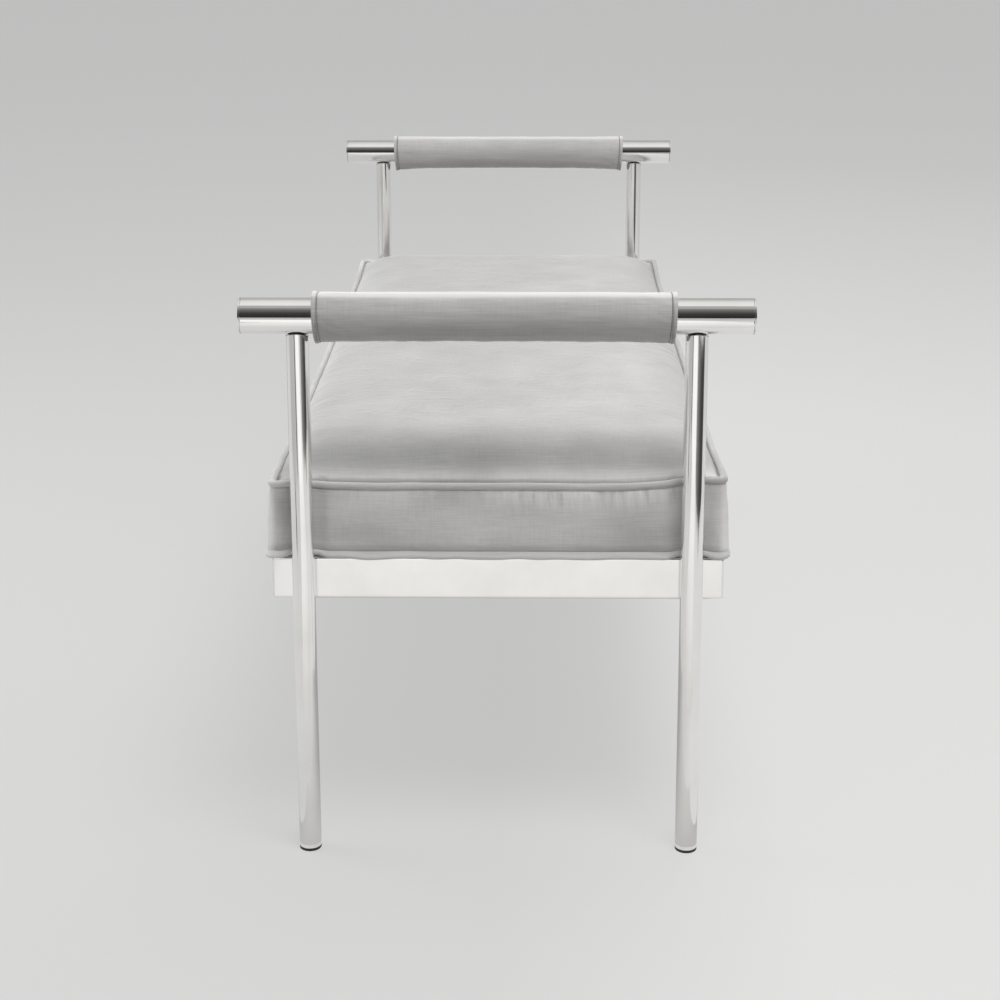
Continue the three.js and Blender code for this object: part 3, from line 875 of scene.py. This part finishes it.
# Gathers where the boxing is sewn to the top welt: in patches, and most on the right end
GATHER_SPACING = 12 * MM
GATHER_LENGTH = 14 * MM
GATHER_DEPTH = 1.4 * MM
GATHER_EVEN = 0.25
GATHER_PATCH = 0.9
GATHER_MIDDLE = 50 * MM
GATHER_SPREAD = 110 * MM


def gather_share(x, y, depth):
    """How strongly the boxing is gathered at a point and a depth under the welt."""
    patch = GATHER_EVEN + GATHER_PATCH * uneven(9 * x, 9 * y, 5.3)
    if x > SEAT_X - SEAT_CORNER:
        patch += GATHER_PATCH * hump(y - GATHER_MIDDLE, GATHER_SPREAD)
    return min(max(patch, 0.0), 1.0) * hump(depth, GATHER_LENGTH)


def outwards(point):
    """Level direction out of the side of the cushion that a point lies on."""
    if abs(point.x) / SEAT_X > abs(point.y) / SEAT_Y:
        return Vector((copysign(1, point.x), 0, 0))
    return Vector((0, copysign(1, point.y), 0))


def gather_boxing(vertices):
    """Moves the boxing in and out at the gathers, and gives each point's share of gathering."""
    girth = run_lengths(vertices[:EDGE_COUNT])
    shares = [0.0] * len(vertices)
    for row in range(2, len(row_plan) - 2):
        depth = TOP_WELT - WELT_RADIUS - row_plan[row][1]
        for k in range(EDGE_COUNT):
            number = row * EDGE_COUNT + k
            point = vertices[number]
            pleat = uneven(girth[k] / GATHER_SPACING, 0.02 * row, 8.8)
            shares[number] = gather_share(point.x, point.y, depth)
            vertices[number] = point + GATHER_DEPTH * shares[number] * pleat * outwards(point)
    return shares


# Short slanting dents in the top where its long sides are sewn to the welt
PUCKER_SPACING = 14 * MM
PUCKER_LENGTH = 34 * MM
PUCKER_DEPTH = 1.6 * MM
PUCKER_SLANT = 0.7
PUCKER_EVEN = 0.4


def pucker_top(vertices):
    for point in vertices[len(row_plan) * EDGE_COUNT :]:
        from_side = PANEL_Y - abs(point.y)
        reach = hump(from_side, PUCKER_LENGTH) * smooth_step(0, FINE_STEP, from_side)
        patch = max(0.0, PUCKER_EVEN + uneven(5 * point.x, copysign(2, point.y), 3.3))
        along = point.x - PUCKER_SLANT * from_side
        dent = uneven(along / PUCKER_SPACING, 4 * point.y, 1.9)
        point.z += PUCKER_DEPTH * reach * patch * dent


# Painted light and shade on the boxing, with random clouds of the pile: painted light over all of it, a
# painted sheen round the corners, painted shade along the foot
BOXING_PAINTED_LIGHT = 0.04
BOXING_CLOUD = 0.16
CORNER_PAINTED_SHEEN = 0.6
CORNER_PAST_SIDE = (0.3, 0.8)  # where the painted sheen starts and is full, of the corner's round
CORNER_PAST_END = (-2.0, 0.5)
FOOT_PAINTED_SHADE = -0.15
FOOT_PAINTED_SHADE_ROWS = 4


def boxing_nap_and_painted_light(point, run, row):
    cloud = BOXING_CLOUD * uneven(11 * run, 30 * point.z, 2.2)
    reach = SEAT_CORNER + BOXING_ROUND
    past_end = (abs(point.x) - SEAT_X + reach) / reach
    past_side = (abs(point.y) - SEAT_Y + reach) / reach
    # Painted sheen round the corners of the boxing
    corner = smooth_step(*CORNER_PAST_SIDE, past_side) * smooth_step(*CORNER_PAST_END, past_end)
    # Painted shade along the foot, beside the lower welt
    foot = FOOT_PAINTED_SHADE if row < FOOT_PAINTED_SHADE_ROWS else 0.0
    # Painted light over the whole boxing, with random clouds, the painted sheen at the corners and the
    # painted shade at the foot
    return BOXING_PAINTED_LIGHT + cloud + CORNER_PAINTED_SHEEN * corner + foot


# Painted light and shade on the top, with random streaks of the pile: painted shade all over, a painted
# shadow band on the ends' slopes, painted light beside the end welts and at the corners, painted shade
# along the seams
TOP_PAINTED_SHADE = (-0.19, -0.10)  # at the front and at the back
TOP_PAINTED_SHADE_TURN = (-50 * MM, 200 * MM)
STREAK_NAP = 0.05
BAND_PAINTED_SHADOW = -0.06
BAND_PLACE = (30 * MM, 14 * MM)  # distance from the end seam, at the front and at the back
BAND_TURN = (100 * MM, 210 * MM)
BAND_WIDTH = 18 * MM
BAND_FADE = (5 * MM, 70 * MM)
EDGE_PAINTED_HIGHLIGHT = 0.46
EDGE_WIDTH = 11 * MM
EDGE_FADE = (0, 20 * MM)
TOP_CORNER_PAINTED_LIGHT = 0.30
TOP_CORNER_X = 38 * MM
TOP_CORNER_Y = 30 * MM
SEAM_PAINTED_SHADE = -0.65
SEAM_LINE = (2.4 * MM, 4.4 * MM)


def panel_nap_and_painted_light(point):
    from_end = PANEL_X - abs(point.x)
    from_side = PANEL_Y - abs(point.y)
    # Painted shade over the whole top, more at the front
    even = between(TOP_PAINTED_SHADE, smooth_step(*TOP_PAINTED_SHADE_TURN, point.y))
    streaks = STREAK_NAP * uneven(10 * point.x, 26 * point.y, 6.1)
    # Painted shadow of the bar and sleeve above, in a band across each end's slope
    band_place = between(BAND_PLACE, smooth_step(*BAND_TURN, point.y))
    band = BAND_PAINTED_SHADOW * hump(from_end - band_place, BAND_WIDTH) * smooth_step(*BAND_FADE, from_side)
    # Painted highlight beside the end welts
    edge = EDGE_PAINTED_HIGHLIGHT * hump(from_end, EDGE_WIDTH) * smooth_step(*EDGE_FADE, from_side)
    # Painted light at the corners of the top
    corner = TOP_CORNER_PAINTED_LIGHT * hump(from_end, TOP_CORNER_X) * hump(from_side, TOP_CORNER_Y)
    # Painted shade in the seam between the top and the welt
    seam = SEAM_PAINTED_SHADE * (1 - smooth_step(*SEAM_LINE, min(from_end, from_side)))
    return even + streaks + band + edge + corner + seam


def cushion_nap_and_painted_light(vertices):
    girth = run_lengths(vertices[:EDGE_COUNT])
    nap_and_painted_light = []
    for k, point in enumerate(vertices):
        if k < len(row_plan) * EDGE_COUNT:
            nap_and_painted_light.append(boxing_nap_and_painted_light(point, girth[k % EDGE_COUNT], k // EDGE_COUNT))
        else:
            nap_and_painted_light.append(panel_nap_and_painted_light(point))
    return nap_and_painted_light


# Welts: covered cord along the outline
WELT_SIDES = 14
WELT_THICKENING = 0.05
LOW_WAVER = 0.5 * MM
TOP_WAVER = 0.4 * MM
LOW_DROOP = 4 * MM
DROOP_WAVE = 0.5
DROOP_SIDE = (0.15, 0.7)  # part of the cord's round, outwards, over which the droop sets in
# Painted light on the welts: the lower welt lighter all round, both welts lighter at the front corners
LOW_WELT_PAINTED_LIGHT = 0.16
WELT_CORNER_PAINTED_LIGHT = 0.35
PAST_LEG = (LEG_Y - 15 * MM, LEG_Y + 15 * MM)
BY_END = (SEAT_X - 120 * MM, SEAT_X - 20 * MM)


def welt_centres(inset, z, lift_share, waver):
    centres = []
    for s, t in edge_shares:
        x, y = on_outline(s, t, inset, SEAT_CORNER - inset)
        wave = waver * uneven(26 * x, 26 * y, 9 * z)
        centres.append(Vector((x, y, z + lift_share * seam_lift(x, y) + wave)))
    return centres


def welt_shape(centres, z, droop=0.0):
    """A covered cord. droop is how far its outer side hangs over the edge below, clear of the legs."""
    girth = run_lengths(centres)
    rows = []
    for k, centre in enumerate(centres):
        tangent = (centres[(k + 1) % EDGE_COUNT] - centres[k - 1]).normalized()
        out = tangent.cross(Vector((0, 0, 1))).normalized()
        up = out.cross(tangent)
        thick = WELT_RADIUS * (1 + WELT_THICKENING * uneven(60 * centre.x, 60 * centre.y, z))
        hang = droop * overhang(centre) * (1 + DROOP_WAVE * uneven(*(30 * centre)))
        ring = []
        for angle in ring_angles(WELT_SIDES):
            point = centre + thick * (cos(angle) * out - sin(angle) * up)
            point.z -= hang * smooth_step(*DROOP_SIDE, cos(angle))
            ring.append(point)
        rows.append(ring)

    def uv(row, column):
        return (girth[row], 2 * pi * WELT_RADIUS * column / WELT_SIDES)

    return skin(rows, uv, wrap_rows=True)


def overhang(point):
    """Share of the lower welt's droop: all of it but behind the legs."""
    if abs(point.x) < SEAT_X - 2 * SEAT_CORNER:
        return 1.0
    return clear_of_legs(point.y)


def welt_painted_light(point, nap_with_painted_light):
    """Painted light on the welts: the given lift, and more at the front corners."""
    corner = smooth_step(*PAST_LEG, -point.y) * smooth_step(*BY_END, abs(point.x))
    return nap_with_painted_light + WELT_CORNER_PAINTED_LIGHT * corner


def add_welt(name, shape, node, nap_with_painted_light):
    welt = add_piece(name, shape, welt_velvet, [node])
    set_values(welt, "nap_and_painted_light", [welt_painted_light(vertex.co, nap_with_painted_light) for vertex in welt.data.vertices])
    subdivide(welt)


def add_cushion():
    replaced = ["cushion_top_panel", "cushion_boxing", "seat_foam"]
    (vertices, faces, uvs), hold = cushion_shape()
    vertices = settle(vertices, faces, hold)
    gathered = gather_boxing(vertices)
    pucker_top(vertices)
    cushion = add_piece("seat_cushion", (vertices, faces, uvs), cushion_velvet, replaced)
    set_values(cushion, "nap_and_painted_light", cushion_nap_and_painted_light(vertices))
    set_values(cushion, "gather", gathered)
    subdivide(cushion)
    low = welt_centres(WELT_RADIUS, LOW_WELT, 0.0, LOW_WAVER)
    add_welt("lower_welt", welt_shape(low, LOW_WELT, LOW_DROOP), "bottom_welt", LOW_WELT_PAINTED_LIGHT)
    high = welt_centres(WELT_TAPER + WELT_RADIUS, TOP_WELT, 1.0, TOP_WAVER)
    add_welt("upper_welt", welt_shape(high, TOP_WELT), "top_welt", 0.0)


# Padded sleeves on the end bars
SLEEVE_SIDES = 128
SLEEVE_SEED = {"right": 6.0, "left": 4.0}
SLEEVE_SHIFT = {"right": -2.5 * MM, "left": 0.0}
SLEEVE_SAG = 1.4 * MM
STATION_GROWTH = 0.4
THREAD_RADIUS = 0.45 * MM
HEM_WIDTH = 6 * MM
HEM_PROUD = 1.1 * MM
HEM_RISE = 0.6 * HEM_PROUD
HEM_FALL = (HEM_WIDTH - 1.5 * MM, HEM_WIDTH + 0.6 * MM)
HEM_SLANT = 3 * MM  # the hems run back towards the underside
LOOSE_HEM = {"right": 1.5 * MM, "left": 4 * MM}  # the hems hang from the bar
LOOSE_REACH = 40 * MM
STITCH_DIP = 0.8 * MM
DIP_WIDTH = 0.9 * MM
FLARE = 0.5 * MM
FLARE_REACH = 3 * MM
EDGE_ROUND = 0.8 * MM
EDGE_REACH = 0.6 * MM
STREAK_DEPTH = 0.4 * MM
DENT_DEPTH = 0.5 * MM
CREASE_DEPTH = 0.7 * MM
CREASE_PLACE = 24 * MM
CREASE_SPREAD = 18 * MM
RIPPLE_DEPTH = 0.6 * MM


def sleeve_radius(from_end):
    """Outer radius at a distance from the nearer hem's edge."""
    hem = HEM_RISE * (1 - smooth_step(*HEM_FALL, from_end))
    dip = STITCH_DIP * hump(from_end - HEM_WIDTH, DIP_WIDTH)
    flare = FLARE * exp(-from_end / FLARE_REACH)
    round_off = EDGE_ROUND * exp(-from_end / EDGE_REACH)
    return SLEEVE_HEM_RADIUS - HEM_PROUD + hem - dip + flare - round_off


def sleeve_stations():
    """Places along the sleeve, close together at the hems' edges and round their stitches."""
    near = [0.0]
    while near[-1] < GRADED_REACH:
        from_stitches = abs(near[-1] + THREAD_RADIUS - HEM_WIDTH)
        step = THREAD_RADIUS + STATION_GROWTH * min(near[-1], from_stitches)
        near.append(near[-1] + min(step, COARSE_STEP))
    start = SLEEVE_HALF - near[-1]
    steps = round(2 * start / COARSE_STEP)
    middle = [-start + 2 * start * k / steps for k in range(1, steps)]
    return [d - SLEEVE_HALF for d in near] + middle + [SLEEVE_HALF - d for d in reversed(near)]


def sleeve_wrinkle(end, angle, y):
    """Soft lengthwise dents, slanting creases near the hems, and ripples along the underside."""
    seed = SLEEVE_SEED[end]
    round_x = cos(angle)
    round_z = sin(angle)
    streaks = STREAK_DEPTH * uneven(4.2 * round_x, 4.2 * round_z, 8 * y + seed)
    dents = DENT_DEPTH * uneven(1.8 * round_x + 9 * y, 1.8 * round_z, 24 * y + 2 * seed)
    tug = hump(SLEEVE_HALF - abs(y) - CREASE_PLACE, CREASE_SPREAD)
    creases = CREASE_DEPTH * tug * uneven(5 * angle + 90 * y, 14 * y, seed + 7)
    ripple = RIPPLE_DEPTH * max(0.0, -round_z) ** 4 * uneven(95 * y, seed, 0.4)
    return streaks + dents + creases + ripple


def sleeve_point(end, angle, y, radius):
    """Point of the sleeve, which sags below the bar and whose hems slant."""
    low = (1 - sin(angle)) / 2
    loose = LOOSE_HEM[end] * exp(-(SLEEVE_HALF - abs(y)) / LOOSE_REACH)
    sag = (SLEEVE_SAG + loose) * max(0.0, -sin(angle)) ** 2
    slant = HEM_SLANT * low * y / SLEEVE_HALF * smooth_step(0.5 * SLEEVE_HALF, SLEEVE_HALF, abs(y))
    x = ENDS[end] * LEG_X + radius * cos(angle)
    return Vector((x, SLEEVE_SHIFT[end] + y - slant, BAR_AXIS + radius * sin(angle) - sag))


def sleeve_cloth(end, angle, y, sink=0.0):
    """Point on the outside of the sleeve, or sunk a little into it."""
    radius = sleeve_radius(SLEEVE_HALF - abs(y)) + sleeve_wrinkle(end, angle, y)
    return sleeve_point(end, angle, y, radius - sink)


def sleeve_shape(end):
    stations = sleeve_stations()
    angles = ring_angles(SLEEVE_SIDES)
    rows = [[sleeve_cloth(end, a, y) for a in angles] for y in stations]
    place = around_bar(ENDS[end] * LEG_X)
    inner = BAR_RADIUS + FIT
    inside = (stations[-1], 0.0, stations[0])
    for y in inside:
        rows.append([place(inner, a, sleeve_point(end, a, y, inner).y) for a in angles])
    along = [*stations, *inside, stations[0]]
    around = 2 * pi * SLEEVE_HEM_RADIUS

    def uv(row, column):
        return (along[row], around * column / SLEEVE_SIDES)

    return skin(rows, uv, wrap_rows=True)


def off_bar(end, point):
    """Direction straight off the bar's axis at a point."""
    return (point - Vector((ENDS[end] * LEG_X, point.y, BAR_AXIS))).normalized()


# Painted light and shade on the sleeves: a painted sheen along the top, painted shade in the grooves of
# the stitches, and the left sleeve a little lighter overall
SLEEVE_LIGHTER = {"right": 0.0, "left": 0.05}
SLEEVE_TOP_PAINTED_SHEEN = 0.34
SLEEVE_TOP = (0.84, 0.99)  # height on the sleeve's round, of 1, where the painted sheen starts and is full
GROOVE_PAINTED_SHADE = -0.35


def sleeve_nap_and_painted_light(end, point):
    # Painted sheen along the top of the sleeve
    top = smooth_step(*SLEEVE_TOP, off_bar(end, point).z)
    from_end = SLEEVE_HALF - abs(point.y - SLEEVE_SHIFT[end])
    # Painted shade in the grooves of the hem stitches
    groove = hump(from_end - HEM_WIDTH, STITCH_DIP)
    return SLEEVE_LIGHTER[end] + SLEEVE_TOP_PAINTED_SHEEN * top + GROOVE_PAINTED_SHADE * groove


# Stitches: short threads along a line, each a bent tube that dips into the cloth at both ends
THREAD_SIDES = 6
THREAD_BENDS = 5
THREAD_ARCH = 0.5 * MM
THREAD_SINK = 0.1 * MM
HEM_STITCHES = 44
HEM_PARTS = (0.12, 0.5, 0.88)  # start, middle and end of a stitch, as parts of its spacing
SEAM_STITCHES = 84
SEAM_REACH = SLEEVE_HALF - 2.5 * HEM_WIDTH
SEAM_ANGLE = radians(-105)  # the sleeve is closed by a sewn seam on its underside
SEAM_PARTS = ((0.15, -0.045), (0.85, 0.045))  # part of the spacing, and turn from the seam


def thread_uv(row, column):
    return (0.5 * MM * row, 0.4 * MM * column)


def thread_shape(stitches):
    """One mesh of many stitches, each given by its start, its end and the direction off the cloth."""
    vertices = []
    faces = []
    uvs = []
    angles = ring_angles(THREAD_SIDES)
    for start, end, off in stitches:
        side = (end - start).normalized().cross(off).normalized()
        rows = []
        for k in range(THREAD_BENDS):
            share = k / (THREAD_BENDS - 1)
            middle = start.lerp(end, share) + THREAD_ARCH * sin(pi * share) * off
            ways = [cos(a) * side + sin(a) * off for a in angles]
            rows.append([middle + THREAD_RADIUS * way for way in ways])
        points, quads, corners = cap_ends(*skin(rows, thread_uv), THREAD_SIDES)
        first = len(vertices)
        vertices += points
        faces += [[first + i for i in quad] for quad in quads]
        uvs += corners
    return vertices, faces, uvs


def hem_stitches(end):
    stitches = []
    for side in (-1, 1):
        y = side * (SLEEVE_HALF - HEM_WIDTH)
        for k in range(HEM_STITCHES):
            angles = [2 * pi * (k + part) / HEM_STITCHES for part in HEM_PARTS]
            start, middle, finish = [sleeve_cloth(end, a, y, THREAD_SINK) for a in angles]
            stitches.append((start, finish, off_bar(end, middle)))
    return stitches


def seam_stitches(end):
    stitches = []
    step = 2 * SEAM_REACH / SEAM_STITCHES
    for k in range(SEAM_STITCHES):
        places = [(SEAM_ANGLE + turn, step * (k + part) - SEAM_REACH) for part, turn in SEAM_PARTS]
        start, finish = [sleeve_cloth(end, a, y, THREAD_SINK) for a, y in places]
        stitches.append((start, finish, off_bar(end, (start + finish) / 2)))
    return stitches


def add_sleeves():
    for end in ENDS:
        replaced = [f"{end}_sleeve_cover", f"{end}_sleeve_padding"]
        sleeve = add_piece(f"{end}_grip_sleeve", sleeve_shape(end), sleeve_velvet, replaced)
        set_values(sleeve, "nap_and_painted_light", [sleeve_nap_and_painted_light(end, vertex.co) for vertex in sleeve.data.vertices])
        threads = thread_shape(hem_stitches(end) + seam_stitches(end))
        add_piece(f"{end}_sleeve_stitches", threads, thread)


# Finishes on the CAD nodes that stay
def finish_nodes():
    finishes = {"seat_board": board_wood, "dust_cover": under_cloth}
    for name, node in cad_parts.items():
        if node.hide_render:
            continue
        node.data.materials.clear()
        node.data.materials.append(finishes.get(name, zinc))


# Studio: a pale floor that runs up into a pale wall. Seen by the camera or mirrored in the steel it
# glows with a pale tone, a painted light that fades outwards and is lighter at the back near the bench,
# and keeps a part of the shadow that falls on it.
SHADOW_SHARE = 0.28
FLOOR_TONES = [
    (0.00, (0.686, 0.684, 0.679)),
    (0.20, (0.676, 0.674, 0.670)),
    (0.50, (0.674, 0.672, 0.669)),
    (0.75, (0.665, 0.664, 0.662)),
    (1.00, (0.620, 0.619, 0.617)),
]
TONE_REACH = 8.0
BACK_LIFT = 0.12  # painted light: near the bench the floor is lighter by this share at its back
BACK_EDGE = 0.35
BACK_REACH = (1.5, 5.0)
FLOOR_SIDES = 96
FLOOR_RINGS = (0.01, 0.5, 2.0)
FLOOR_FLAT = 6.0
WALL_ROUND = 2.0
WALL_STEPS = 12
WALL_TOP = 6.0


def floor_material():
    floor = Shader("studio_floor")
    grain = floor.solid((900, 900, 900), detail=1)
    place = floor.coordinates("Object", (1, 1, 1))
    away = floor.vector("LENGTH", place).outputs["Value"]
    tone = floor.ramp(floor.math("DIVIDE", away, TONE_REACH), FLOOR_TONES)
    lift = floor.remap(floor.along("Y"), (0, BACK_EDGE), (0, BACK_LIFT))
    tilt = floor.math("MULTIPLY_ADD", lift, floor.remap(away, BACK_REACH, (1, 0)), 1.0)
    colour = floor.vector("MULTIPLY", tone, tilt).outputs["Vector"]
    floor.set(Base_Color=colour, Roughness=0.9, Specular_IOR_Level=0.1)
    floor.set(Normal=floor.bump(grain, 0.05, 0.2 * MM))
    glow = floor.node("ShaderNodeEmission", {"Color": colour, "Strength": 1.0})
    path = floor.node("ShaderNodeLightPath")
    seen = floor.math("MAXIMUM", path.outputs["Is Camera Ray"], path.outputs["Is Glossy Ray"])
    seen = floor.math("MAXIMUM", seen, path.outputs["Is Transmission Ray"])
    share = floor.math("MULTIPLY", seen, 1 - SHADOW_SHARE)
    inputs = {0: share, 1: floor.surface.outputs["BSDF"], 2: glow.outputs["Emission"]}
    mixed = floor.node("ShaderNodeMixShader", inputs)
    output = floor.tree.nodes["Material Output"]
    floor.tree.links.new(mixed.outputs["Shader"], output.inputs["Surface"])
    return floor.material


def add_stage(name, vertices, faces, material):
    mesh = bpy.data.meshes.new(name)
    mesh.from_pydata(vertices, [], faces)
    mesh.shade_smooth()
    mesh.materials.append(material)
    stage = bpy.data.objects.new(name, mesh)
    bpy.context.collection.objects.link(stage)
    return stage


def add_floor():
    profile = [(radius, 0.0) for radius in FLOOR_RINGS]
    profile += quarter_round((FLOOR_FLAT, WALL_ROUND), WALL_ROUND, -90, WALL_STEPS)
    profile.append((FLOOR_FLAT + WALL_ROUND, WALL_TOP))
    place = around_upright(0, 0)
    rows = [[place(radius, a, z) for a in ring_angles(FLOOR_SIDES)] for radius, z in profile]
    vertices, faces, _ = skin(rows, lambda row, column: (0, 0))
    faces.append(list(range(FLOOR_SIDES))[::-1])
    add_stage("studio_floor", vertices, faces, floor_material())


# Glowing flags and cards round the bench, which only the polished steel mirrors: painted reflections of
# dark and pale surroundings, and a painted reflection of the shade under the bench
CARD_FOOT = 0.10
CARD_HEAD = 0.40
DARK = (0.020, 0.019, 0.018)
DEEP_GREY = (0.050, 0.048, 0.046)
DIM_GREY = (0.20, 0.196, 0.192)
SOFT_GREY = (0.30, 0.29, 0.28)
SIDE_TONES = [(0.00, 0.30), (0.25, 0.20), (0.45, 0.10), (0.65, 0.05), (0.85, 0.06), (1.00, 0.20)]
STRIP_WIDTH = 0.16
STRIP_LENGTH = 3.0
STRIP_HEIGHT = 0.012
# Where each dark strip on the floor, a painted reflection, starts, and its direction in degrees
STRIPS = [(-0.75, -0.75, -100), (1.25, -1.02, -62), (1.25, 1.02, 70), (-0.75, 0.75, 112)]
STRIPS.append((-1.15, -0.15, 170))


def add_flag(name, corners, stops, axis, span):
    """A glowing matt card. The stops of its tone lie over a span along an axis of the room."""
    shader = Shader(name)
    share = shader.remap(shader.along(axis), span, (0, 1))
    shader.set(Base_Color=(0, 0, 0, 1), Roughness=1.0, Specular_IOR_Level=0.0)
    shader.set(Emission_Color=shader.ramp(share, stops), Emission_Strength=1.0)
    flag = add_stage(name, corners, [[0, 1, 2, 3]], shader.material)
    flag.visible_camera = False
    flag.visible_diffuse = False
    flag.visible_shadow = False


def upright(start, end, foot=CARD_FOOT, head=CARD_HEAD):
    return [(*start, foot), (*end, foot), (*end, head), (*start, head)]


def level(x_span, y_half, z):
    low, high = x_span
    return [(low, -y_half, z), (high, -y_half, z), (high, y_half, z), (low, y_half, z)]


def floor_strip(x, y, direction):
    """Corners of a strip on the floor that runs out from a point in a direction, in degrees."""
    way = Vector((cos(radians(direction)), sin(radians(direction)), 0))
    across = STRIP_WIDTH / 2 * Vector((-way.y, way.x, 0))
    near = Vector((x, y, STRIP_HEIGHT))
    far = near + STRIP_LENGTH * way
    return [near - across, far - across, far + across, near + across]


def add_flags():
    tall = [(0.1, DARK), (0.35, DEEP_GREY), (1.0, SOFT_GREY)]
    add_flag("front_flag", upright((3.4, -6), (3.4, 6), 0.70, 5.9), tall, "Z", (0, 6))
    add_flag("rear_flag", upright((-3.4, -6), (-3.4, 6), 0.60, 1.1), tall, "Z", (0, 6))
    side = [(share, (tone, 0.98 * tone, 0.96 * tone)) for share, tone in SIDE_TONES]
    add_flag("side_flag", upright((1.75, 0.45), (0.75, 1.25)), side, "Y", (0.45, 1.25))
    white = [(0.0, (1.06, 1.05, 1.03)), (1.0, (1.04, 1.03, 1.01))]
    add_flag("front_card", upright((1.72, 0.12), (1.79, -0.53)), white, "Y", (-0.5, 0.5))
    edge = [(0.0, DEEP_GREY), (1.0, DIM_GREY)]
    add_flag("card_edge", upright((1.68, -0.62), (1.66, -0.80)), edge, "Y", (0, -1))
    mid = [(0.0, (0.54, 0.53, 0.52)), (1.0, (0.48, 0.47, 0.46))]
    add_flag("left_card", upright((1.62, -0.84), (0.85, -1.40)), mid, "Y", (0, -2))
    pale = [(0.00, (0.70, 0.70, 0.69)), (0.25, (0.87, 0.86, 0.85)), (1.00, (1.08, 1.07, 1.05))]
    add_flag("floor_card", level((1, 3.3), 0.45, 0.01), pale, "X", (1, 2.6))
    strip = [(0.0, (0.10, 0.098, 0.096)), (1.0, SOFT_GREY)]
    for number, place in enumerate(STRIPS):
        add_flag(f"floor_strip_{number}", floor_strip(*place), strip, "Y", (-5 / 3, 5 / 3))
    under = [(0.00, (0.34, 0.335, 0.33)), (0.75, (0.40, 0.395, 0.39)), (1.00, (0.64, 0.635, 0.63))]
    add_flag("shadow_card", level((-0.8, 0.8), 0.28, 0.008), under, "X", (-0.5, 0.8))
    over = [(0.0, (0.86, 0.85, 0.83)), (1.0, (0.60, 0.595, 0.58))]
    add_flag("reflector", level((-2.4, 1.1), 3, 3.4), over, "X", (0, -2.5))


# Light: an even world and three soft lamps
WORLD_COLOUR = (1.0, 0.997, 0.99, 1.0)
WORLD_STRENGTH = 0.43


def add_light():
    world = bpy.data.worlds.new("studio")
    bpy.context.scene.world = world
    world.use_nodes = True
    background = world.node_tree.nodes["Background"]
    background.inputs["Color"].default_value = WORLD_COLOUR
    background.inputs["Strength"].default_value = WORLD_STRENGTH
    add_softbox("front_softbox", place=(1.5, 0.55, 2.9), target=(0.2, 0.0, 0.4), size=1.4, power=48)
    add_softbox("side_softbox", place=(-0.2, -2.6, 1.5), target=(0.0, 0.0, 0.4), size=1.5, power=28)
    add_softbox("back_softbox", place=(-0.9, 0.5, 3.0), target=(-0.4, 0.0, 0.4), size=2.0, power=22)


def add_softbox(name, place, target, size, power):
    lamp = bpy.data.lights.new(name, "AREA")
    lamp.shape = "SQUARE"
    lamp.size = size
    lamp.energy = power
    light = bpy.data.objects.new(name, lamp)
    light.location = place
    light.rotation_euler = (Vector(target) - Vector(place)).to_track_quat("-Z", "Y").to_euler()
    light.visible_glossy = False
    bpy.context.collection.objects.link(light)


# Camera at the photograph's viewing angle, looking along -X. Angles in radians
CAMERA_PLACE = Vector((2.6668, 0.0333, 1.1088))
CAMERA_PITCH = 0.2293
CAMERA_YAW = 0.0147
CAMERA_ROLL = -0.0018
LENS = 68.24
SENSOR = 36
LENS_SHIFT = -0.18


def add_camera():
    data = bpy.data.cameras.new("camera")
    data.lens = LENS
    data.sensor_width = SENSOR
    data.shift_y = LENS_SHIFT
    camera = bpy.data.objects.new("camera", data)
    turn = Matrix.Rotation(pi / 2 + CAMERA_YAW, 4, "Z")
    tip = Matrix.Rotation(pi / 2 - CAMERA_PITCH, 4, "X")
    roll = Matrix.Rotation(CAMERA_ROLL, 4, "Z")
    camera.matrix_world = Matrix.Translation(CAMERA_PLACE) @ turn @ tip @ roll
    bpy.context.collection.objects.link(camera)
    bpy.context.scene.camera = camera


add_steel()
add_cushion()
add_sleeves()
finish_nodes()
add_floor()
add_flags()
add_light()
add_camera()
bpy.context.scene.view_settings.view_transform = "Standard"
